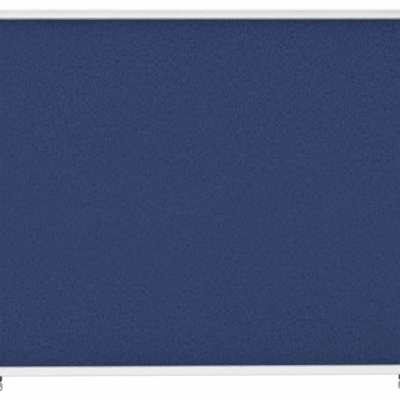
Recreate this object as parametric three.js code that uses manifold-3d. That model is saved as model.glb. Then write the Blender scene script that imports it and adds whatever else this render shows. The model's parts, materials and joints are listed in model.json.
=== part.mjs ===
import * as THREE from 'three';
import { mergeVertices } from 'three/addons/utils/BufferGeometryUtils.js';
import Module from 'manifold-3d';

// Wall-hung notice display case: a felt board in a shallow aluminium case, closed by a glazed door
// that is hinged along its top edge, held open by two gas struts and locked by two hook locks below.
// Millimetres, +Z up, front towards -Y. The origin is the middle of the back, on the wall plane.
// A depth is measured from the wall towards the front, so it lies at y = -depth.

// Overall outline of the frame, seen from the front
const caseWidth = 1390;
const caseHeight = 981;

// Fits
const seatGap = 0.1;      // between pieces that are fixed to each other
const slideGap = 0.3;     // between pieces that are pushed together or pass each other
const cutOverrun = 2;     // how far a cutter runs past the wall that it cuts
const rootOverlap = 1;    // how deep a joined boss or neck is rooted in its body

// Board: galvanised sheet at the back, soft core, felt skin
const sheetThickness = 1;
const sheetFit = 0.2;
const coreThickness = 8.6;
const feltThickness = 1.5;
const boardEdgeGap = 0.3;

// Case profile
const caseFace = 23.5;
const caseWall = 1.8;
const webThickness = 1.2;
const webReach = 14;
const innerWall = 1.2;
const caseChamberDepth = 4.8;
const caseFrontWall = 1.5;

// Door profile
const railFace = 24;
const doorWall = 1.6;
const landWall = 2;       // behind the glass, where the seal lands
const backLipDepth = 11.8;
const frontLipDepth = 5;
const glassThickness = 4;
const gasketThickness = 0.6;
const gasketLip = 0.4;
const grooveDepth = 9;
const edgeRadius = 7;
const crownRadius = 60;
const crownInset = 6;     // the highest line of the face, from the rail's inner edge
const lipRadius = 1;

// Continuous hinge along the top
const leafThickness = 0.7;
const leafWidth = 8;
const leafClearance = 0.4;
const knuckleRadius = 3;
const knuckleWall = 1.3;
const hingePinRadius = 1.5;
const knucklePitch = 60;
const knuckleGap = 0.4;
const knuckleRootShare = 1 / 4;
const caseReliefGap = 0.4;
const doorReliefGap = 1.2;

// Seal between case and door
const sealWidth = 5.5;
const sealInset = 2.5;

// Plastic corners
const caseTongueLength = 28;
const doorTongueLength = 30;
const tongueEdgeGap = 0.6;

// Caps over the wall fixing holes
const capInset = 65;
const capRadius = 11;
const capHeadThickness = 1.6;
const capPlugRadius = 8.7;
const capPlugLength = 7;
const capWall = 1.5;
const fixingHoleRadius = 3.3;

// Gas struts
const strutInset = 34;          // strut axis from the outer side of the case
const strutLowerDrop = 370;     // lower pivot below the hinge axis
const strutUpperDrop = 70;      // upper pivot below the hinge axis
const strutEyeRadius = 4;
const strutEyeThickness = 5;
const studRadius = 2.2;
const studHeadRadius = 3.2;
const studHeadThickness = 1.5;
const rodRadius = 2.5;
const rodLength = 200;
const rodNutRadius = 4;
const rodNutLength = 5;
const cylinderRadius = 6;
const cylinderLength = 170;
const cylinderBoreDepth = 150;
const cylinderNeckLength = 16;
const cylinderNeckRadius = 3;
const upperEyeRadius = 4.5;
const bracketThickness = 2;
const bracketLength = 28;
const bracketCornerRadius = 3;

// Locks
const lockInset = 156;          // lock axis from the end of the rail
const lockSetback = 10.8;       // lock axis behind the front of the door
const barrelRadius = 9.5;
const barrelDrop = 13;
const barrelRound = 2.8;
const collarRadius = 10.4;
const collarHeight = 5.2;
const collarGap = 0.4;
const shankRadius = 6.4;
const plugRadius = 4.7;
const plugNeckSide = 5;
const carrierThickness = 3;
const carrierLength = 34;
const hookThickness = 2;
const hookHubRadius = 5.5;
const hookGap = 0.5;
const hookFlangeGap = 0.4;
const hookTipAngle = 23;        // degrees past the lock axis when it is locked
const hookArmAngle = 14;        // degrees that the arm takes
const lockTurn = 90;            // degrees
const camScrewRadius = 1.5;
const camScrewHeadRadius = 4.2;
const camScrewHeadHeight = 1.4;
const camScrewLength = 7;
const strikeThickness = 1;
const strikeLength = 40;
const strikeHeight = 7;

// Keys
const keyThickness = 2;
const bladeWidth = 7.2;
const bladeLength = 16.3;
const bladeCutDepth = 1.6;
const bladeCuts = 4;
const bladeCutShare = 1 / 3;      // half the opening of a cut, out of their pitch
const keyNeckWidth = 11;
const keyNeckLength = 3.7;
const bowWidth = 20.4;
const bowHeight = 21.8;
const bowTopRadius = 4;
const bowBottomRadius = 8;
const keySlotWidth = 12.6;
const keySlotHeight = 5;
const keySlotRise = 8.4;        // middle of the slot above the bottom of the bow

// Facets of round forms
const profileSteps = 6;
const crestSteps = 2;
const cornerSteps = 24;
const lockSteps = 24;
const strutSteps = 16;
const hingeSteps = 10;
const weldDistance = 1e-4;

// Depths of the board and the case
const webBack = sheetThickness + sheetFit;
const webFront = webBack + webThickness;
const coreBack = webFront + sheetFit;
const feltBack = coreBack + coreThickness + seatGap;
const feltFront = feltBack + feltThickness;
const chamberBack = feltFront + slideGap;
const chamberInside = chamberBack + innerWall;
const chamberOutside = chamberInside + caseChamberDepth;
const caseDepth = chamberOutside + caseFrontWall;

// Depths of the door
const doorGap = 2 * (leafThickness + seatGap) + leafClearance;
const doorBack = caseDepth + doorGap;
const grooveBack = doorBack + backLipDepth;
const glassBack = grooveBack + gasketThickness + 2 * seatGap;
const grooveFront = glassBack + glassThickness + gasketThickness + 2 * seatGap;
const doorFront = grooveFront + frontLipDepth;
const grooveFloor = railFace - grooveDepth;
const gasketEdge = grooveFloor + seatGap;
const glassEdge = gasketEdge + gasketThickness + slideGap;

// Hinge line
const hingeInset = knuckleRadius;
const hingeDepth = caseDepth + doorGap / 2;
const caseRelief = knuckleRadius + caseReliefGap;
const doorRelief = knuckleRadius + doorReliefGap;
const hingeBore = knuckleRadius - knuckleWall;
const hingeLength = caseWidth - 2 * railFace;

// Crowned face of the door rail
const crownAcross = railFace - crownInset;
const crownCentre = doorFront - crownRadius;
const edgeCentreReach = Math.sqrt((crownRadius - edgeRadius) ** 2 - (crownAcross - edgeRadius) ** 2);
const edgeCentre = crownCentre + edgeCentreReach;
const edgeTangent = Math.atan2(edgeCentreReach, edgeRadius - crownAcross);

// Lock places; heights are above the lower edge of the door rail
const lockX = caseWidth / 2 - lockInset;
const lockDepth = doorFront - lockSetback;
const counterTop = collarHeight + collarGap;
const carrierBottom = counterTop + slideGap;
const shankTop = carrierBottom + carrierThickness + seatGap;
const hookBottom = shankTop + collarGap;
const hookTop = hookBottom + hookThickness;
const plugFace = -barrelDrop - slideGap;
const plugBore = plugRadius + slideGap;

const wasm = await Module();
wasm.setup();

const aluminium = new THREE.MeshStandardMaterial({ color: 0xd6d8da, roughness: 0.38, metalness: 1 });
const corner = new THREE.MeshStandardMaterial({ color: 0xbfc1c3, roughness: 0.5, metalness: 0 });
const galvanised = new THREE.MeshStandardMaterial({ color: 0x9ea3a6, roughness: 0.5, metalness: 1 });
const fibreboard = new THREE.MeshStandardMaterial({ color: 0xa88a63, roughness: 0.95, metalness: 0 });
const felt = new THREE.MeshStandardMaterial({ color: 0x344065, roughness: 1, metalness: 0 });
const seal = new THREE.MeshStandardMaterial({ color: 0x1c1c1d, roughness: 0.8, metalness: 0 });
const gasketGrey = new THREE.MeshStandardMaterial({ color: 0x8c8f92, roughness: 0.7, metalness: 0 });
const glass = new THREE.MeshStandardMaterial({
  color: 0xf2f7f6, roughness: 0.03, metalness: 0, transparent: true, opacity: 0.2,
});
const steel = new THREE.MeshStandardMaterial({ color: 0xb4b6b8, roughness: 0.35, metalness: 1 });
const strutBlack = new THREE.MeshStandardMaterial({ color: 0x161718, roughness: 0.45, metalness: 0.2 });
const lockMetal = new THREE.MeshStandardMaterial({ color: 0x544e42, roughness: 0.3, metalness: 1 });
const keyMetal = new THREE.MeshStandardMaterial({ color: 0xa4a4a4, roughness: 0.35, metalness: 1 });

// Solids and their cuts

function toSolid(geometry) {
  const bare = geometry.clone();
  bare.deleteAttribute('normal');
  bare.deleteAttribute('uv');
  const merged = mergeVertices(bare, weldDistance);
  const index = merged.index.array;
  const triangles = [];
  for (let i = 0; i < index.length; i += 3) {
    const [a, b, c] = [index[i], index[i + 1], index[i + 2]];
    if (a !== b && b !== c && c !== a) {
      triangles.push(a, b, c);
    }
  }
  const mesh = new wasm.Mesh({
    numProp: 3,
    vertProperties: new Float32Array(merged.attributes.position.array),
    triVerts: new Uint32Array(triangles),
  });
  return new wasm.Manifold(mesh);
}

function toGeometry(solid) {
  const { vertProperties, triVerts } = solid.getMesh();
  const geometry = new THREE.BufferGeometry();
  geometry.setAttribute('position', new THREE.BufferAttribute(vertProperties, 3));
  geometry.setIndex(new THREE.BufferAttribute(triVerts, 1));
  geometry.computeVertexNormals();
  return geometry;
}

function joined(...geometries) {
  return toGeometry(geometries.map(toSolid).reduce((whole, solid) => whole.add(solid)));
}

function cut(geometry, ...tools) {
  return toGeometry(tools.map(toSolid).reduce((whole, tool) => whole.subtract(tool), toSolid(geometry)));
}

function shared(geometry, other) {
  return toGeometry(toSolid(geometry).intersect(toSolid(other)));
}

// A box between two corners.
function boxBetween(low, high) {
  const size = new THREE.Vector3().subVectors(high, low);
  const middle = new THREE.Vector3().addVectors(low, high).multiplyScalar(1 / 2);
  return new THREE.BoxGeometry(size.x, size.y, size.z).translate(middle.x, middle.y, middle.z);
}

// Points on an arc, both ends included, with angles in radians.
function arc(x, y, radius, from, to, steps = profileSteps) {
  return Array.from({ length: steps + 1 }, (_, i) => {
    const angle = from + (to - from) * i / steps;
    return new THREE.Vector2(x + radius * Math.cos(angle), y + radius * Math.sin(angle));
  });
}

// A profile whose points are (distance in from the outer edge, depth), drawn out along X.
function alongX(shape, length) {
  const turn = new THREE.Matrix4().makeBasis(
    new THREE.Vector3(0, 0, 1), new THREE.Vector3(0, -1, 0), new THREE.Vector3(1, 0, 0));
  const geometry = new THREE.ExtrudeGeometry(shape, { depth: length, bevelEnabled: false });
  return geometry.translate(0, 0, -length / 2).applyMatrix4(turn);
}

// A flat shape in X and Z, drawn out towards the front from the depth at which the mesh is placed.
function panel(shape, thickness) {
  const options = { depth: thickness, bevelEnabled: false, curveSegments: profileSteps };
  return new THREE.ExtrudeGeometry(shape, options).rotateX(Math.PI / 2);
}

// A shape in X and Y, drawn out upwards from a height.
function slab(shape, bottom, thickness) {
  const options = { depth: thickness, bevelEnabled: false };
  return new THREE.ExtrudeGeometry(shape, options).translate(0, 0, bottom);
}

function turnedUpright(points, steps) {
  return new THREE.LatheGeometry(points, steps).rotateX(Math.PI / 2);
}

// A round bar or tube with its axis on Z or on X.
function roundUpright(radius, bottom, top, steps) {
  return new THREE.CylinderGeometry(radius, radius, top - bottom, steps)
    .rotateX(Math.PI / 2).translate(0, 0, (top + bottom) / 2);
}

function roundAcross(radius, from, to, steps) {
  return new THREE.CylinderGeometry(radius, radius, Math.abs(to - from), steps)
    .rotateZ(Math.PI / 2).translate((to + from) / 2, 0, 0);
}

function points(list) {
  return list.map(([x, y]) => new THREE.Vector2(x, y));
}

function roundedRectangle(width, height, radius) {
  const [right, top] = [width / 2 - radius, height / 2 - radius];
  return new THREE.Shape([
    ...arc(right, top, radius, 0, Math.PI / 2),
    ...arc(-right, top, radius, Math.PI / 2, Math.PI),
    ...arc(-right, -top, radius, Math.PI, 3 * Math.PI / 2),
    ...arc(right, -top, radius, 3 * Math.PI / 2, 2 * Math.PI),
  ]);
}

function place(parent, name, geometry, material) {
  const mesh = new THREE.Mesh(geometry, material);
  mesh.name = name;
  parent.add(mesh);
  return mesh;
}

function groupAt(parent, x, depth, z) {
  const group = new THREE.Group();
  group.position.set(x, -depth, z);
  parent.add(group);
  return group;
}

const part = new THREE.Group();
const door = new THREE.Group();
part.add(door);

// The four sides and the four corners, each turned about Y from the bottom or the bottom left one
const sides = [
  { name: 'rail_bottom', turn: 0, x: 0, z: -caseHeight / 2, length: caseWidth },
  { name: 'stile_left', turn: Math.PI / 2, x: -caseWidth / 2, z: 0, length: caseHeight },
  { name: 'rail_top', turn: Math.PI, x: 0, z: caseHeight / 2, length: caseWidth },
  { name: 'stile_right', turn: -Math.PI / 2, x: caseWidth / 2, z: 0, length: caseHeight },
];
const corners = [
  { name: 'bottom_left', turn: 0, right: -1, up: -1 },
  { name: 'top_left', turn: Math.PI / 2, right: -1, up: 1 },
  { name: 'top_right', turn: Math.PI, right: 1, up: 1 },
  { name: 'bottom_right', turn: -Math.PI / 2, right: 1, up: -1 },
];
const hands = [{ name: 'left', right: -1 }, { name: 'right', right: 1 }];

// Profiles

// Where a circle about the hinge line meets a line across the profile, or one along it.
function reliefAcross(radius, depth) {
  return hingeInset + Math.sqrt(radius ** 2 - (depth - hingeDepth) ** 2);
}

function reliefDown(radius, across) {
  return Math.sqrt(radius ** 2 - (across - hingeInset) ** 2);
}

// The concave relief for the hinge knuckles, from the point at one depth to the one at the outer side.
function reliefArc(radius, depth, across) {
  const side = Math.sign(depth - hingeDepth);
  const from = Math.atan2(depth - hingeDepth, reliefAcross(radius, depth) - hingeInset);
  const to = Math.atan2(side * reliefDown(radius, across), across - hingeInset);
  return arc(hingeInset, hingeDepth, radius, from, to);
}

function caseOutline() {
  return [
    ...points([
      [0, 0], [caseWall, 0], [caseWall, webBack], [webReach, webBack], [webReach, webFront],
      [caseWall, webFront], [caseWall, chamberBack], [caseFace, chamberBack], [caseFace, caseDepth],
    ]),
    ...reliefArc(caseRelief, caseDepth, 0),
  ];
}

function caseChamber() {
  return new THREE.Path([
    ...points([
      [caseWall, chamberInside],
      [caseFace - caseFrontWall, chamberInside],
      [caseFace - caseFrontWall, chamberOutside],
    ]),
    ...reliefArc(caseRelief + caseFrontWall, chamberOutside, caseWall),
  ]);
}

// The crowned face from its inner edge over its crest to the outer side, or the same a wall further in.
function crownArcs(inset, innerEnd) {
  const crown = crownRadius - inset;
  const from = Math.acos((innerEnd - crownAcross) / crown);
  return [
    ...arc(crownAcross, crownCentre, crown, from, Math.PI / 2, crestSteps),
    ...arc(crownAcross, crownCentre, crown, Math.PI / 2, edgeTangent).slice(1),
    ...arc(edgeRadius, edgeCentre, edgeRadius - inset, edgeTangent, Math.PI).slice(1),
  ];
}

function crownDepth(across, inset) {
  return crownCentre + Math.sqrt((crownRadius - inset) ** 2 - (across - crownAcross) ** 2);
}

function doorOutline() {
  const lipStart = railFace - lipRadius;
  const lipCentre = crownDepth(lipStart, 0) - lipRadius;
  return [
    ...points([
      [railFace, doorBack], [railFace, grooveBack], [grooveFloor, grooveBack],
      [grooveFloor, grooveFront], [railFace, grooveFront],
    ]),
    ...arc(lipStart, lipCentre, lipRadius, 0, Math.PI / 2, profileSteps / 2),
    ...crownArcs(0, lipStart).slice(1),
    ...reliefArc(doorRelief, doorBack, 0).reverse(),
  ];
}

function doorChambers() {
  const groovedWall = grooveFloor - doorWall;
  const lipWall = railFace - doorWall;
  const main = new THREE.Path([
    ...points([
      [groovedWall, doorBack + doorWall], [groovedWall, grooveFront + doorWall],
      [lipWall, grooveFront + doorWall],
    ]),
    ...crownArcs(doorWall, lipWall),
    ...reliefArc(doorRelief + doorWall, doorBack + doorWall, doorWall).reverse(),
  ]);
  const behindGlass = new THREE.Path(points([
    [grooveFloor, doorBack + landWall], [lipWall, doorBack + landWall],
    [lipWall, grooveBack - doorWall], [grooveFloor, grooveBack - doorWall],
  ]));
  return [main, behindGlass];
}

function hollowShape(outline, holes) {
  const shape = new THREE.Shape(outline);
  shape.holes.push(...holes);
  return shape;
}

// Corners: the profile turned a quarter about the frame's inner corner, with a tongue for each rail

function cornerPiece(outline, face, tongueAcross, tongueDepth, tongueLength) {
  const ring = new THREE.LatheGeometry(
    [...outline, outline[0]].map((p) => new THREE.Vector2(Math.max(face - p.x, 0), -p.y)), cornerSteps);
  const quarter = shared(ring, boxBetween(
    new THREE.Vector3(-face - cutOverrun, -doorFront - cutOverrun, -face - cutOverrun),
    new THREE.Vector3(0, cutOverrun, 0)));
  const [nearSide, farSide] = tongueAcross.map((across) => across - face);
  const [back, front] = tongueDepth.map((depth) => -depth);
  const alongRail = boxBetween(
    new THREE.Vector3(-rootOverlap, front, nearSide), new THREE.Vector3(tongueLength, back, farSide));
  const alongStile = boxBetween(
    new THREE.Vector3(nearSide, front, -rootOverlap), new THREE.Vector3(farSide, back, tongueLength));
  return joined(quarter, alongRail, alongStile).translate(face, 0, face);
}

const caseTongueAcross = [
  reliefAcross(caseRelief + caseFrontWall, chamberOutside) + tongueEdgeGap,
  caseFace - caseFrontWall - slideGap,
];
const caseTongueDepth = [chamberInside + slideGap, chamberOutside - slideGap];
const doorTongueAcross = [doorWall + doorReliefGap + 2 * tongueEdgeGap, grooveFloor - doorWall - slideGap];
const doorTongueDepth = [
  hingeDepth + doorRelief + doorWall + tongueEdgeGap,
  edgeCentre + reach(edgeRadius - doorWall, edgeRadius - doorTongueAcross[0]) - tongueEdgeGap,
];

// The third side of a right triangle.
function reach(radius, offset) {
  return Math.sqrt(radius ** 2 - offset ** 2);
}

for (const { name, turn, right, up } of corners) {
  const caseCorner = groupAt(part, right * caseWidth / 2, 0, up * caseHeight / 2);
  caseCorner.rotation.y = turn;
  place(caseCorner, `case_corner_${name}`,
    cornerPiece(caseOutline(), caseFace, caseTongueAcross, caseTongueDepth, caseTongueLength), corner);
  const doorCorner = groupAt(door, right * caseWidth / 2, 0, up * caseHeight / 2);
  doorCorner.rotation.y = turn;
  place(doorCorner, `door_corner_${name}`,
    cornerPiece(doorOutline(), railFace, doorTongueAcross, doorTongueDepth, doorTongueLength), corner);
}

// Locks: the hook is an arc about the lock axis that swings from the door through the case's flange.
// Angles of the hook are degrees from the wall direction, positive towards +X.

const flangeInside = lockDepth - chamberOutside;
const flangeFront = lockDepth - caseDepth;
const doorWallFront = lockDepth - doorBack - doorWall;
const hookOuter = lockDepth - chamberInside - hookFlangeGap;
const hookInner = (flangeInside + hookFlangeGap) / Math.cos(THREE.MathUtils.degToRad(hookTipAngle));
const hookFrontRoom = crownDepth(hookBottom, doorWall) - lockDepth - slideGap;
const hookArmStart = -90 - THREE.MathUtils.radToDeg(Math.asin(hookFrontRoom / hookOuter));

function hookPoint(radius, degrees) {
  const angle = THREE.MathUtils.degToRad(degrees);
  return new THREE.Vector2(radius * Math.sin(angle), radius * Math.cos(angle));
}

function hookArc(radius, from, to) {
  return Array.from({ length: profileSteps + 1 }, (_, i) => {
    return hookPoint(radius, from + (to - from) * i / profileSteps);
  });
}

// The slot that the hook sweeps and its arm rests in, through a wall between two distances.
function hookSlot(near, far) {
  const armEdge = hookArmStart + hookArmAngle + lockTurn;
  const left = -reach(hookOuter, near) - hookGap;
  const right = far * Math.tan(THREE.MathUtils.degToRad(armEdge)) + 2 * hookGap;
  return boxBetween(
    new THREE.Vector3(left, near - hookGap, hookBottom - hookGap),
    new THREE.Vector3(right, far + hookGap, hookTop + hookGap));
}

// Cutters stand in the frame of a rail, whose lower edge is at z = 0 and whose back is at y = 0.
function atLock(geometry, right) {
  return geometry.translate(right * lockX, -lockDepth, 0);
}

function lockHole() {
  return roundUpright(collarRadius + collarGap, -cutOverrun, counterTop, lockSteps);
}

// Rails and stiles

function caseRail(length) {
  const shape = hollowShape(caseOutline(), [caseChamber()]);
  return alongX(shape, length - 2 * (caseFace + seatGap));
}

function doorRail(length) {
  const shape = hollowShape(doorOutline(), doorChambers());
  return alongX(shape, length - 2 * (railFace + seatGap));
}

for (const { name, turn, x, z, length } of sides) {
  const caseCutters = [];
  const doorCutters = [];
  if (name === 'rail_bottom') {
    for (const { right } of hands) {
      caseCutters.push(atLock(hookSlot(flangeFront, flangeInside), right));
      doorCutters.push(atLock(lockHole(), right));
      doorCutters.push(atLock(hookSlot(doorWallFront, doorWallFront + doorWall), right));
    }
  }
  const caseSide = groupAt(part, x, 0, z);
  caseSide.rotation.y = turn;
  place(caseSide, `case_${name}`, cut(caseRail(length), ...caseCutters), aluminium);
  const doorSide = groupAt(door, x, 0, z);
  doorSide.rotation.y = turn;
  place(doorSide, `door_${name}`, cut(doorRail(length), ...doorCutters), aluminium);
}

// Board

function boardShape(holeRadius) {
  const inset = caseWall + boardEdgeGap;
  const shape = roundedRectangle(caseWidth - 2 * inset, caseHeight - 2 * inset, caseFace - inset);
  for (const { right, up } of corners) {
    const x = right * (caseWidth / 2 - capInset);
    const z = up * (caseHeight / 2 - capInset);
    shape.holes.push(new THREE.Path(arc(x, z, holeRadius, 0, -2 * Math.PI, strutSteps).slice(1)));
  }
  return shape;
}

const capHoleRadius = capPlugRadius + slideGap;
place(part, 'back_sheet', panel(boardShape(fixingHoleRadius), sheetThickness), galvanised);
const board = groupAt(part, 0, coreBack, 0);
place(board, 'board_core', panel(boardShape(capHoleRadius), coreThickness), fibreboard);
const boardSkin = groupAt(part, 0, feltBack, 0);
place(boardSkin, 'felt_cover', panel(boardShape(capHoleRadius), feltThickness), felt);

// A cap has a flat head on the felt and a hollow plug in the fixing hole.
function fixingCap() {
  const plugInside = capPlugRadius - capWall;
  const profile = points([
    [0, 0], [plugInside, 0], [plugInside, -capPlugLength], [capPlugRadius, -capPlugLength],
    [capPlugRadius, 0], [capRadius, 0], [capRadius, capHeadThickness / 2],
    [capRadius - capHeadThickness / 2, capHeadThickness], [0, capHeadThickness],
  ]);
  return new THREE.LatheGeometry(profile, strutSteps).rotateX(Math.PI);
}

for (const { name, right, up } of corners) {
  const x = right * (caseWidth / 2 - capInset);
  const z = up * (caseHeight / 2 - capInset);
  const capGroup = groupAt(part, x, feltFront + seatGap, z);
  place(capGroup, `fixing_cap_${name}`, fixingCap(), corner);
}

// Seal on the case's front, and the glass in its gasket

// A flat ring; its inner corners are all but square where they lie past the corners' centre.
function ring(outerInset, innerInset, cornerCentre) {
  const shape = roundedRectangle(
    caseWidth - 2 * outerInset, caseHeight - 2 * outerInset, cornerCentre - outerInset);
  const innerRadius = Math.max(cornerCentre - innerInset, seatGap);
  const inner = roundedRectangle(
    caseWidth - 2 * innerInset, caseHeight - 2 * innerInset, innerRadius);
  shape.holes.push(new THREE.Path(inner.getPoints().reverse()));
  return shape;
}

const sealGroup = groupAt(part, 0, caseDepth + seatGap, 0);
const sealOuter = caseFace - sealInset - sealWidth;
place(sealGroup, 'case_seal',
  panel(ring(sealOuter, caseFace - sealInset, caseFace), doorGap - seatGap - slideGap), seal);

function glassGasket() {
  const legEnd = railFace + gasketLip;
  const baseDepth = glassThickness + 2 * (gasketThickness + seatGap);
  const leg = ring(gasketEdge, legEnd, railFace);
  const base = panel(ring(gasketEdge, gasketEdge + gasketThickness, railFace), baseDepth);
  const backLeg = panel(leg, gasketThickness);
  const frontLeg = panel(leg, gasketThickness).translate(0, -(baseDepth - gasketThickness), 0);
  return joined(base, backLeg, frontLeg);
}

const gasketGroup = groupAt(door, 0, grooveBack + seatGap, 0);
place(gasketGroup, 'glass_gasket', glassGasket(), gasketGrey);
const glassGroup = groupAt(door, 0, glassBack, 0);
place(glassGroup, 'glass_pane', panel(roundedRectangle(
  caseWidth - 2 * glassEdge, caseHeight - 2 * glassEdge, railFace - glassEdge), glassThickness), glass);

// Continuous hinge: two leaves with knuckles in turn, on one pin

const knuckleCount = 2 * Math.round(hingeLength / (2 * knucklePitch)) + 1;
const knuckleStep = hingeLength / knuckleCount;

function hingeLeaf(front, firstKnuckle) {
  const plateTop = -knuckleRadius - knuckleGap - seatGap;
  const plateMiddle = front * (doorGap / 2 - seatGap - leafThickness / 2);
  const [low, high] = [plateMiddle - leafThickness / 2, plateMiddle + leafThickness / 2];
  const plate = boxBetween(
    new THREE.Vector3(-hingeLength / 2, low, plateTop - leafWidth),
    new THREE.Vector3(hingeLength / 2, high, plateTop));
  const pieces = [plate];
  const tubeProfile = (length) => points([
    [hingeBore, -length / 2], [knuckleRadius, -length / 2], [knuckleRadius, length / 2],
    [hingeBore, length / 2], [hingeBore, -length / 2],
  ]);
  for (let i = firstKnuckle; i < knuckleCount; i += 2) {
    const length = knuckleStep - knuckleGap;
    const middle = (i + 1 / 2) * knuckleStep - hingeLength / 2;
    pieces.push(new THREE.LatheGeometry(tubeProfile(length), hingeSteps)
      .rotateZ(-Math.PI / 2).translate(middle, 0, 0));
    pieces.push(boxBetween(
      new THREE.Vector3(middle - length / 2, low, plateTop - rootOverlap),
      new THREE.Vector3(middle + length / 2, high, -hingeBore - knuckleWall * knuckleRootShare)));
  }
  return joined(...pieces);
}

const hingeHeight = caseHeight / 2 - hingeInset;
const caseHinge = groupAt(part, 0, hingeDepth, hingeHeight);
place(caseHinge, 'hinge_leaf_case', hingeLeaf(1, 0), aluminium);
place(caseHinge, 'hinge_pin',
  roundAcross(hingePinRadius, -hingeLength / 2, hingeLength / 2, hingeSteps), steel);
const doorHinge = groupAt(door, 0, hingeDepth, hingeHeight);
place(doorHinge, 'hinge_leaf_door', hingeLeaf(-1, 1), aluminium);

// Gas struts: an eye on a stud of the case, a rod, and a cylinder whose pin meets the door's bracket

const lowerPivotDepth = feltFront + collarGap + strutEyeRadius;
const upperPivotDepth = glassBack - 2 * collarGap - cylinderRadius;
const strutRise = strutLowerDrop - strutUpperDrop;
const strutLean = Math.atan2(upperPivotDepth - lowerPivotDepth, strutRise);
const strutLength = Math.hypot(upperPivotDepth - lowerPivotDepth, strutRise);
const strutX = caseWidth / 2 - strutInset;
const eyeHalf = strutEyeThickness / 2;

function strutRod() {
  const eye = roundAcross(strutEyeRadius, -eyeHalf, eyeHalf, strutSteps);
  const rod = roundUpright(rodRadius, studRadius, rodLength, strutSteps);
  const nutBottom = strutEyeRadius - seatGap;
  const nut = roundUpright(rodNutRadius, nutBottom, nutBottom + rodNutLength, profileSteps);
  const bore = roundAcross(
    studRadius + slideGap, -strutEyeThickness, strutEyeThickness, strutSteps);
  return cut(joined(eye, rod, nut), bore);
}

function strutCylinder(right) {
  const top = strutLength - cylinderNeckLength;
  const bottom = top - cylinderLength;
  const barrel = turnedUpright(points([
    [rodRadius + 2 * slideGap, bottom], [cylinderRadius - slideGap, bottom],
    [cylinderRadius, bottom + slideGap], [cylinderRadius, top - cylinderRadius / 2],
    [cylinderRadius / 2, top], [0, top], [0, bottom + cylinderBoreDepth],
    [rodRadius + 2 * slideGap, bottom + cylinderBoreDepth], [rodRadius + 2 * slideGap, bottom],
  ]), strutSteps);
  const neck = roundUpright(cylinderNeckRadius, top - rootOverlap, strutLength, strutSteps);
  const eye = roundAcross(upperEyeRadius, -eyeHalf, eyeHalf, strutSteps).translate(0, 0, strutLength);
  const pinEnd = caseWidth / 2 - railFace - seatGap - bracketThickness - slideGap - strutX;
  const pin = roundAcross(studRadius, 0, right * pinEnd, strutSteps).translate(0, 0, strutLength);
  return joined(barrel, neck, eye, pin);
}

// The plate stands against the inner side of a stile, and a side is +1 or -1.
function bracketPlate(right, side, back, front) {
  const shape = roundedRectangle(bracketLength, front - back, bracketCornerRadius);
  const geometry = new THREE.ExtrudeGeometry(shape, { depth: bracketThickness, bevelEnabled: false });
  geometry.rotateY(Math.PI / 2);
  const inner = right > 0 ? side - bracketThickness : -side;
  return geometry.translate(inner, 0, 0);
}

for (const { name, right } of hands) {
  const caseSide = caseWidth / 2 - caseFace - seatGap;
  const doorSide = caseWidth / 2 - railFace - seatGap;
  const caseBack = chamberBack + slideGap;
  const caseFront = caseDepth - seatGap;
  const lowerHeight = hingeHeight - strutLowerDrop;
  const upperHeight = hingeHeight - strutUpperDrop;

  const plateOffset = lowerPivotDepth - (caseBack + caseFront) / 2;
  const casePlate = bracketPlate(right, caseSide, caseBack, caseFront).translate(0, plateOffset, 0);
  const studEnd = strutX - eyeHalf - slideGap;
  const stud = roundAcross(studRadius, right * studEnd, right * (caseSide - rootOverlap), strutSteps);
  const head = roundAcross(
    studHeadRadius, right * (studEnd - studHeadThickness), right * studEnd, strutSteps);
  const caseBracket = groupAt(part, 0, lowerPivotDepth, lowerHeight);
  place(caseBracket, `strut_bracket_case_${name}`, joined(casePlate, stud, head), steel);

  const strut = groupAt(part, right * strutX, lowerPivotDepth, lowerHeight);
  strut.rotation.x = strutLean;
  place(strut, `strut_rod_${name}`, strutRod(), steel);
  place(strut, `strut_cylinder_${name}`, strutCylinder(right), strutBlack);

  const doorPlateDepth = (doorBack + grooveBack) / 2;
  const doorPlate = bracketPlate(right, doorSide, doorBack + slideGap, grooveBack - slideGap);
  const doorBracket = groupAt(door, 0, doorPlateDepth, upperHeight);
  place(doorBracket, `strut_bracket_door_${name}`, doorPlate, steel);
}

// Lock pieces, in a frame on the lock axis at the door rail's lower edge

function lockBody() {
  return turnedUpright([
    new THREE.Vector2(plugBore, -barrelDrop),
    ...arc(barrelRadius - barrelRound, barrelRound - barrelDrop, barrelRound, -Math.PI / 2, 0),
    ...points([
      [barrelRadius, 0], [collarRadius, 0], [collarRadius, collarHeight],
      [shankRadius, collarHeight], [shankRadius, shankTop], [plugBore, shankTop],
      [plugBore, -barrelDrop],
    ]),
  ], lockSteps);
}

function lockPlug() {
  const body = roundUpright(plugRadius, plugFace, shankTop, lockSteps);
  const half = plugNeckSide / 2;
  const neck = boxBetween(
    new THREE.Vector3(-half, -half, shankTop - rootOverlap),
    new THREE.Vector3(half, half, hookTop + seatGap));
  const keywayTop = plugFace + bladeLength + 2 * slideGap;
  const keyway = boxBetween(
    new THREE.Vector3(-bladeWidth / 2 - slideGap, -keyThickness / 2 - slideGap, plugFace - cutOverrun),
    new THREE.Vector3(bladeWidth / 2 + slideGap, keyThickness / 2 + slideGap, keywayTop));
  const screwHole = roundUpright(
    camScrewRadius + seatGap, hookTop - camScrewLength - slideGap, hookTop + cutOverrun, strutSteps);
  return cut(joined(body, neck), keyway, screwHole);
}

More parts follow.
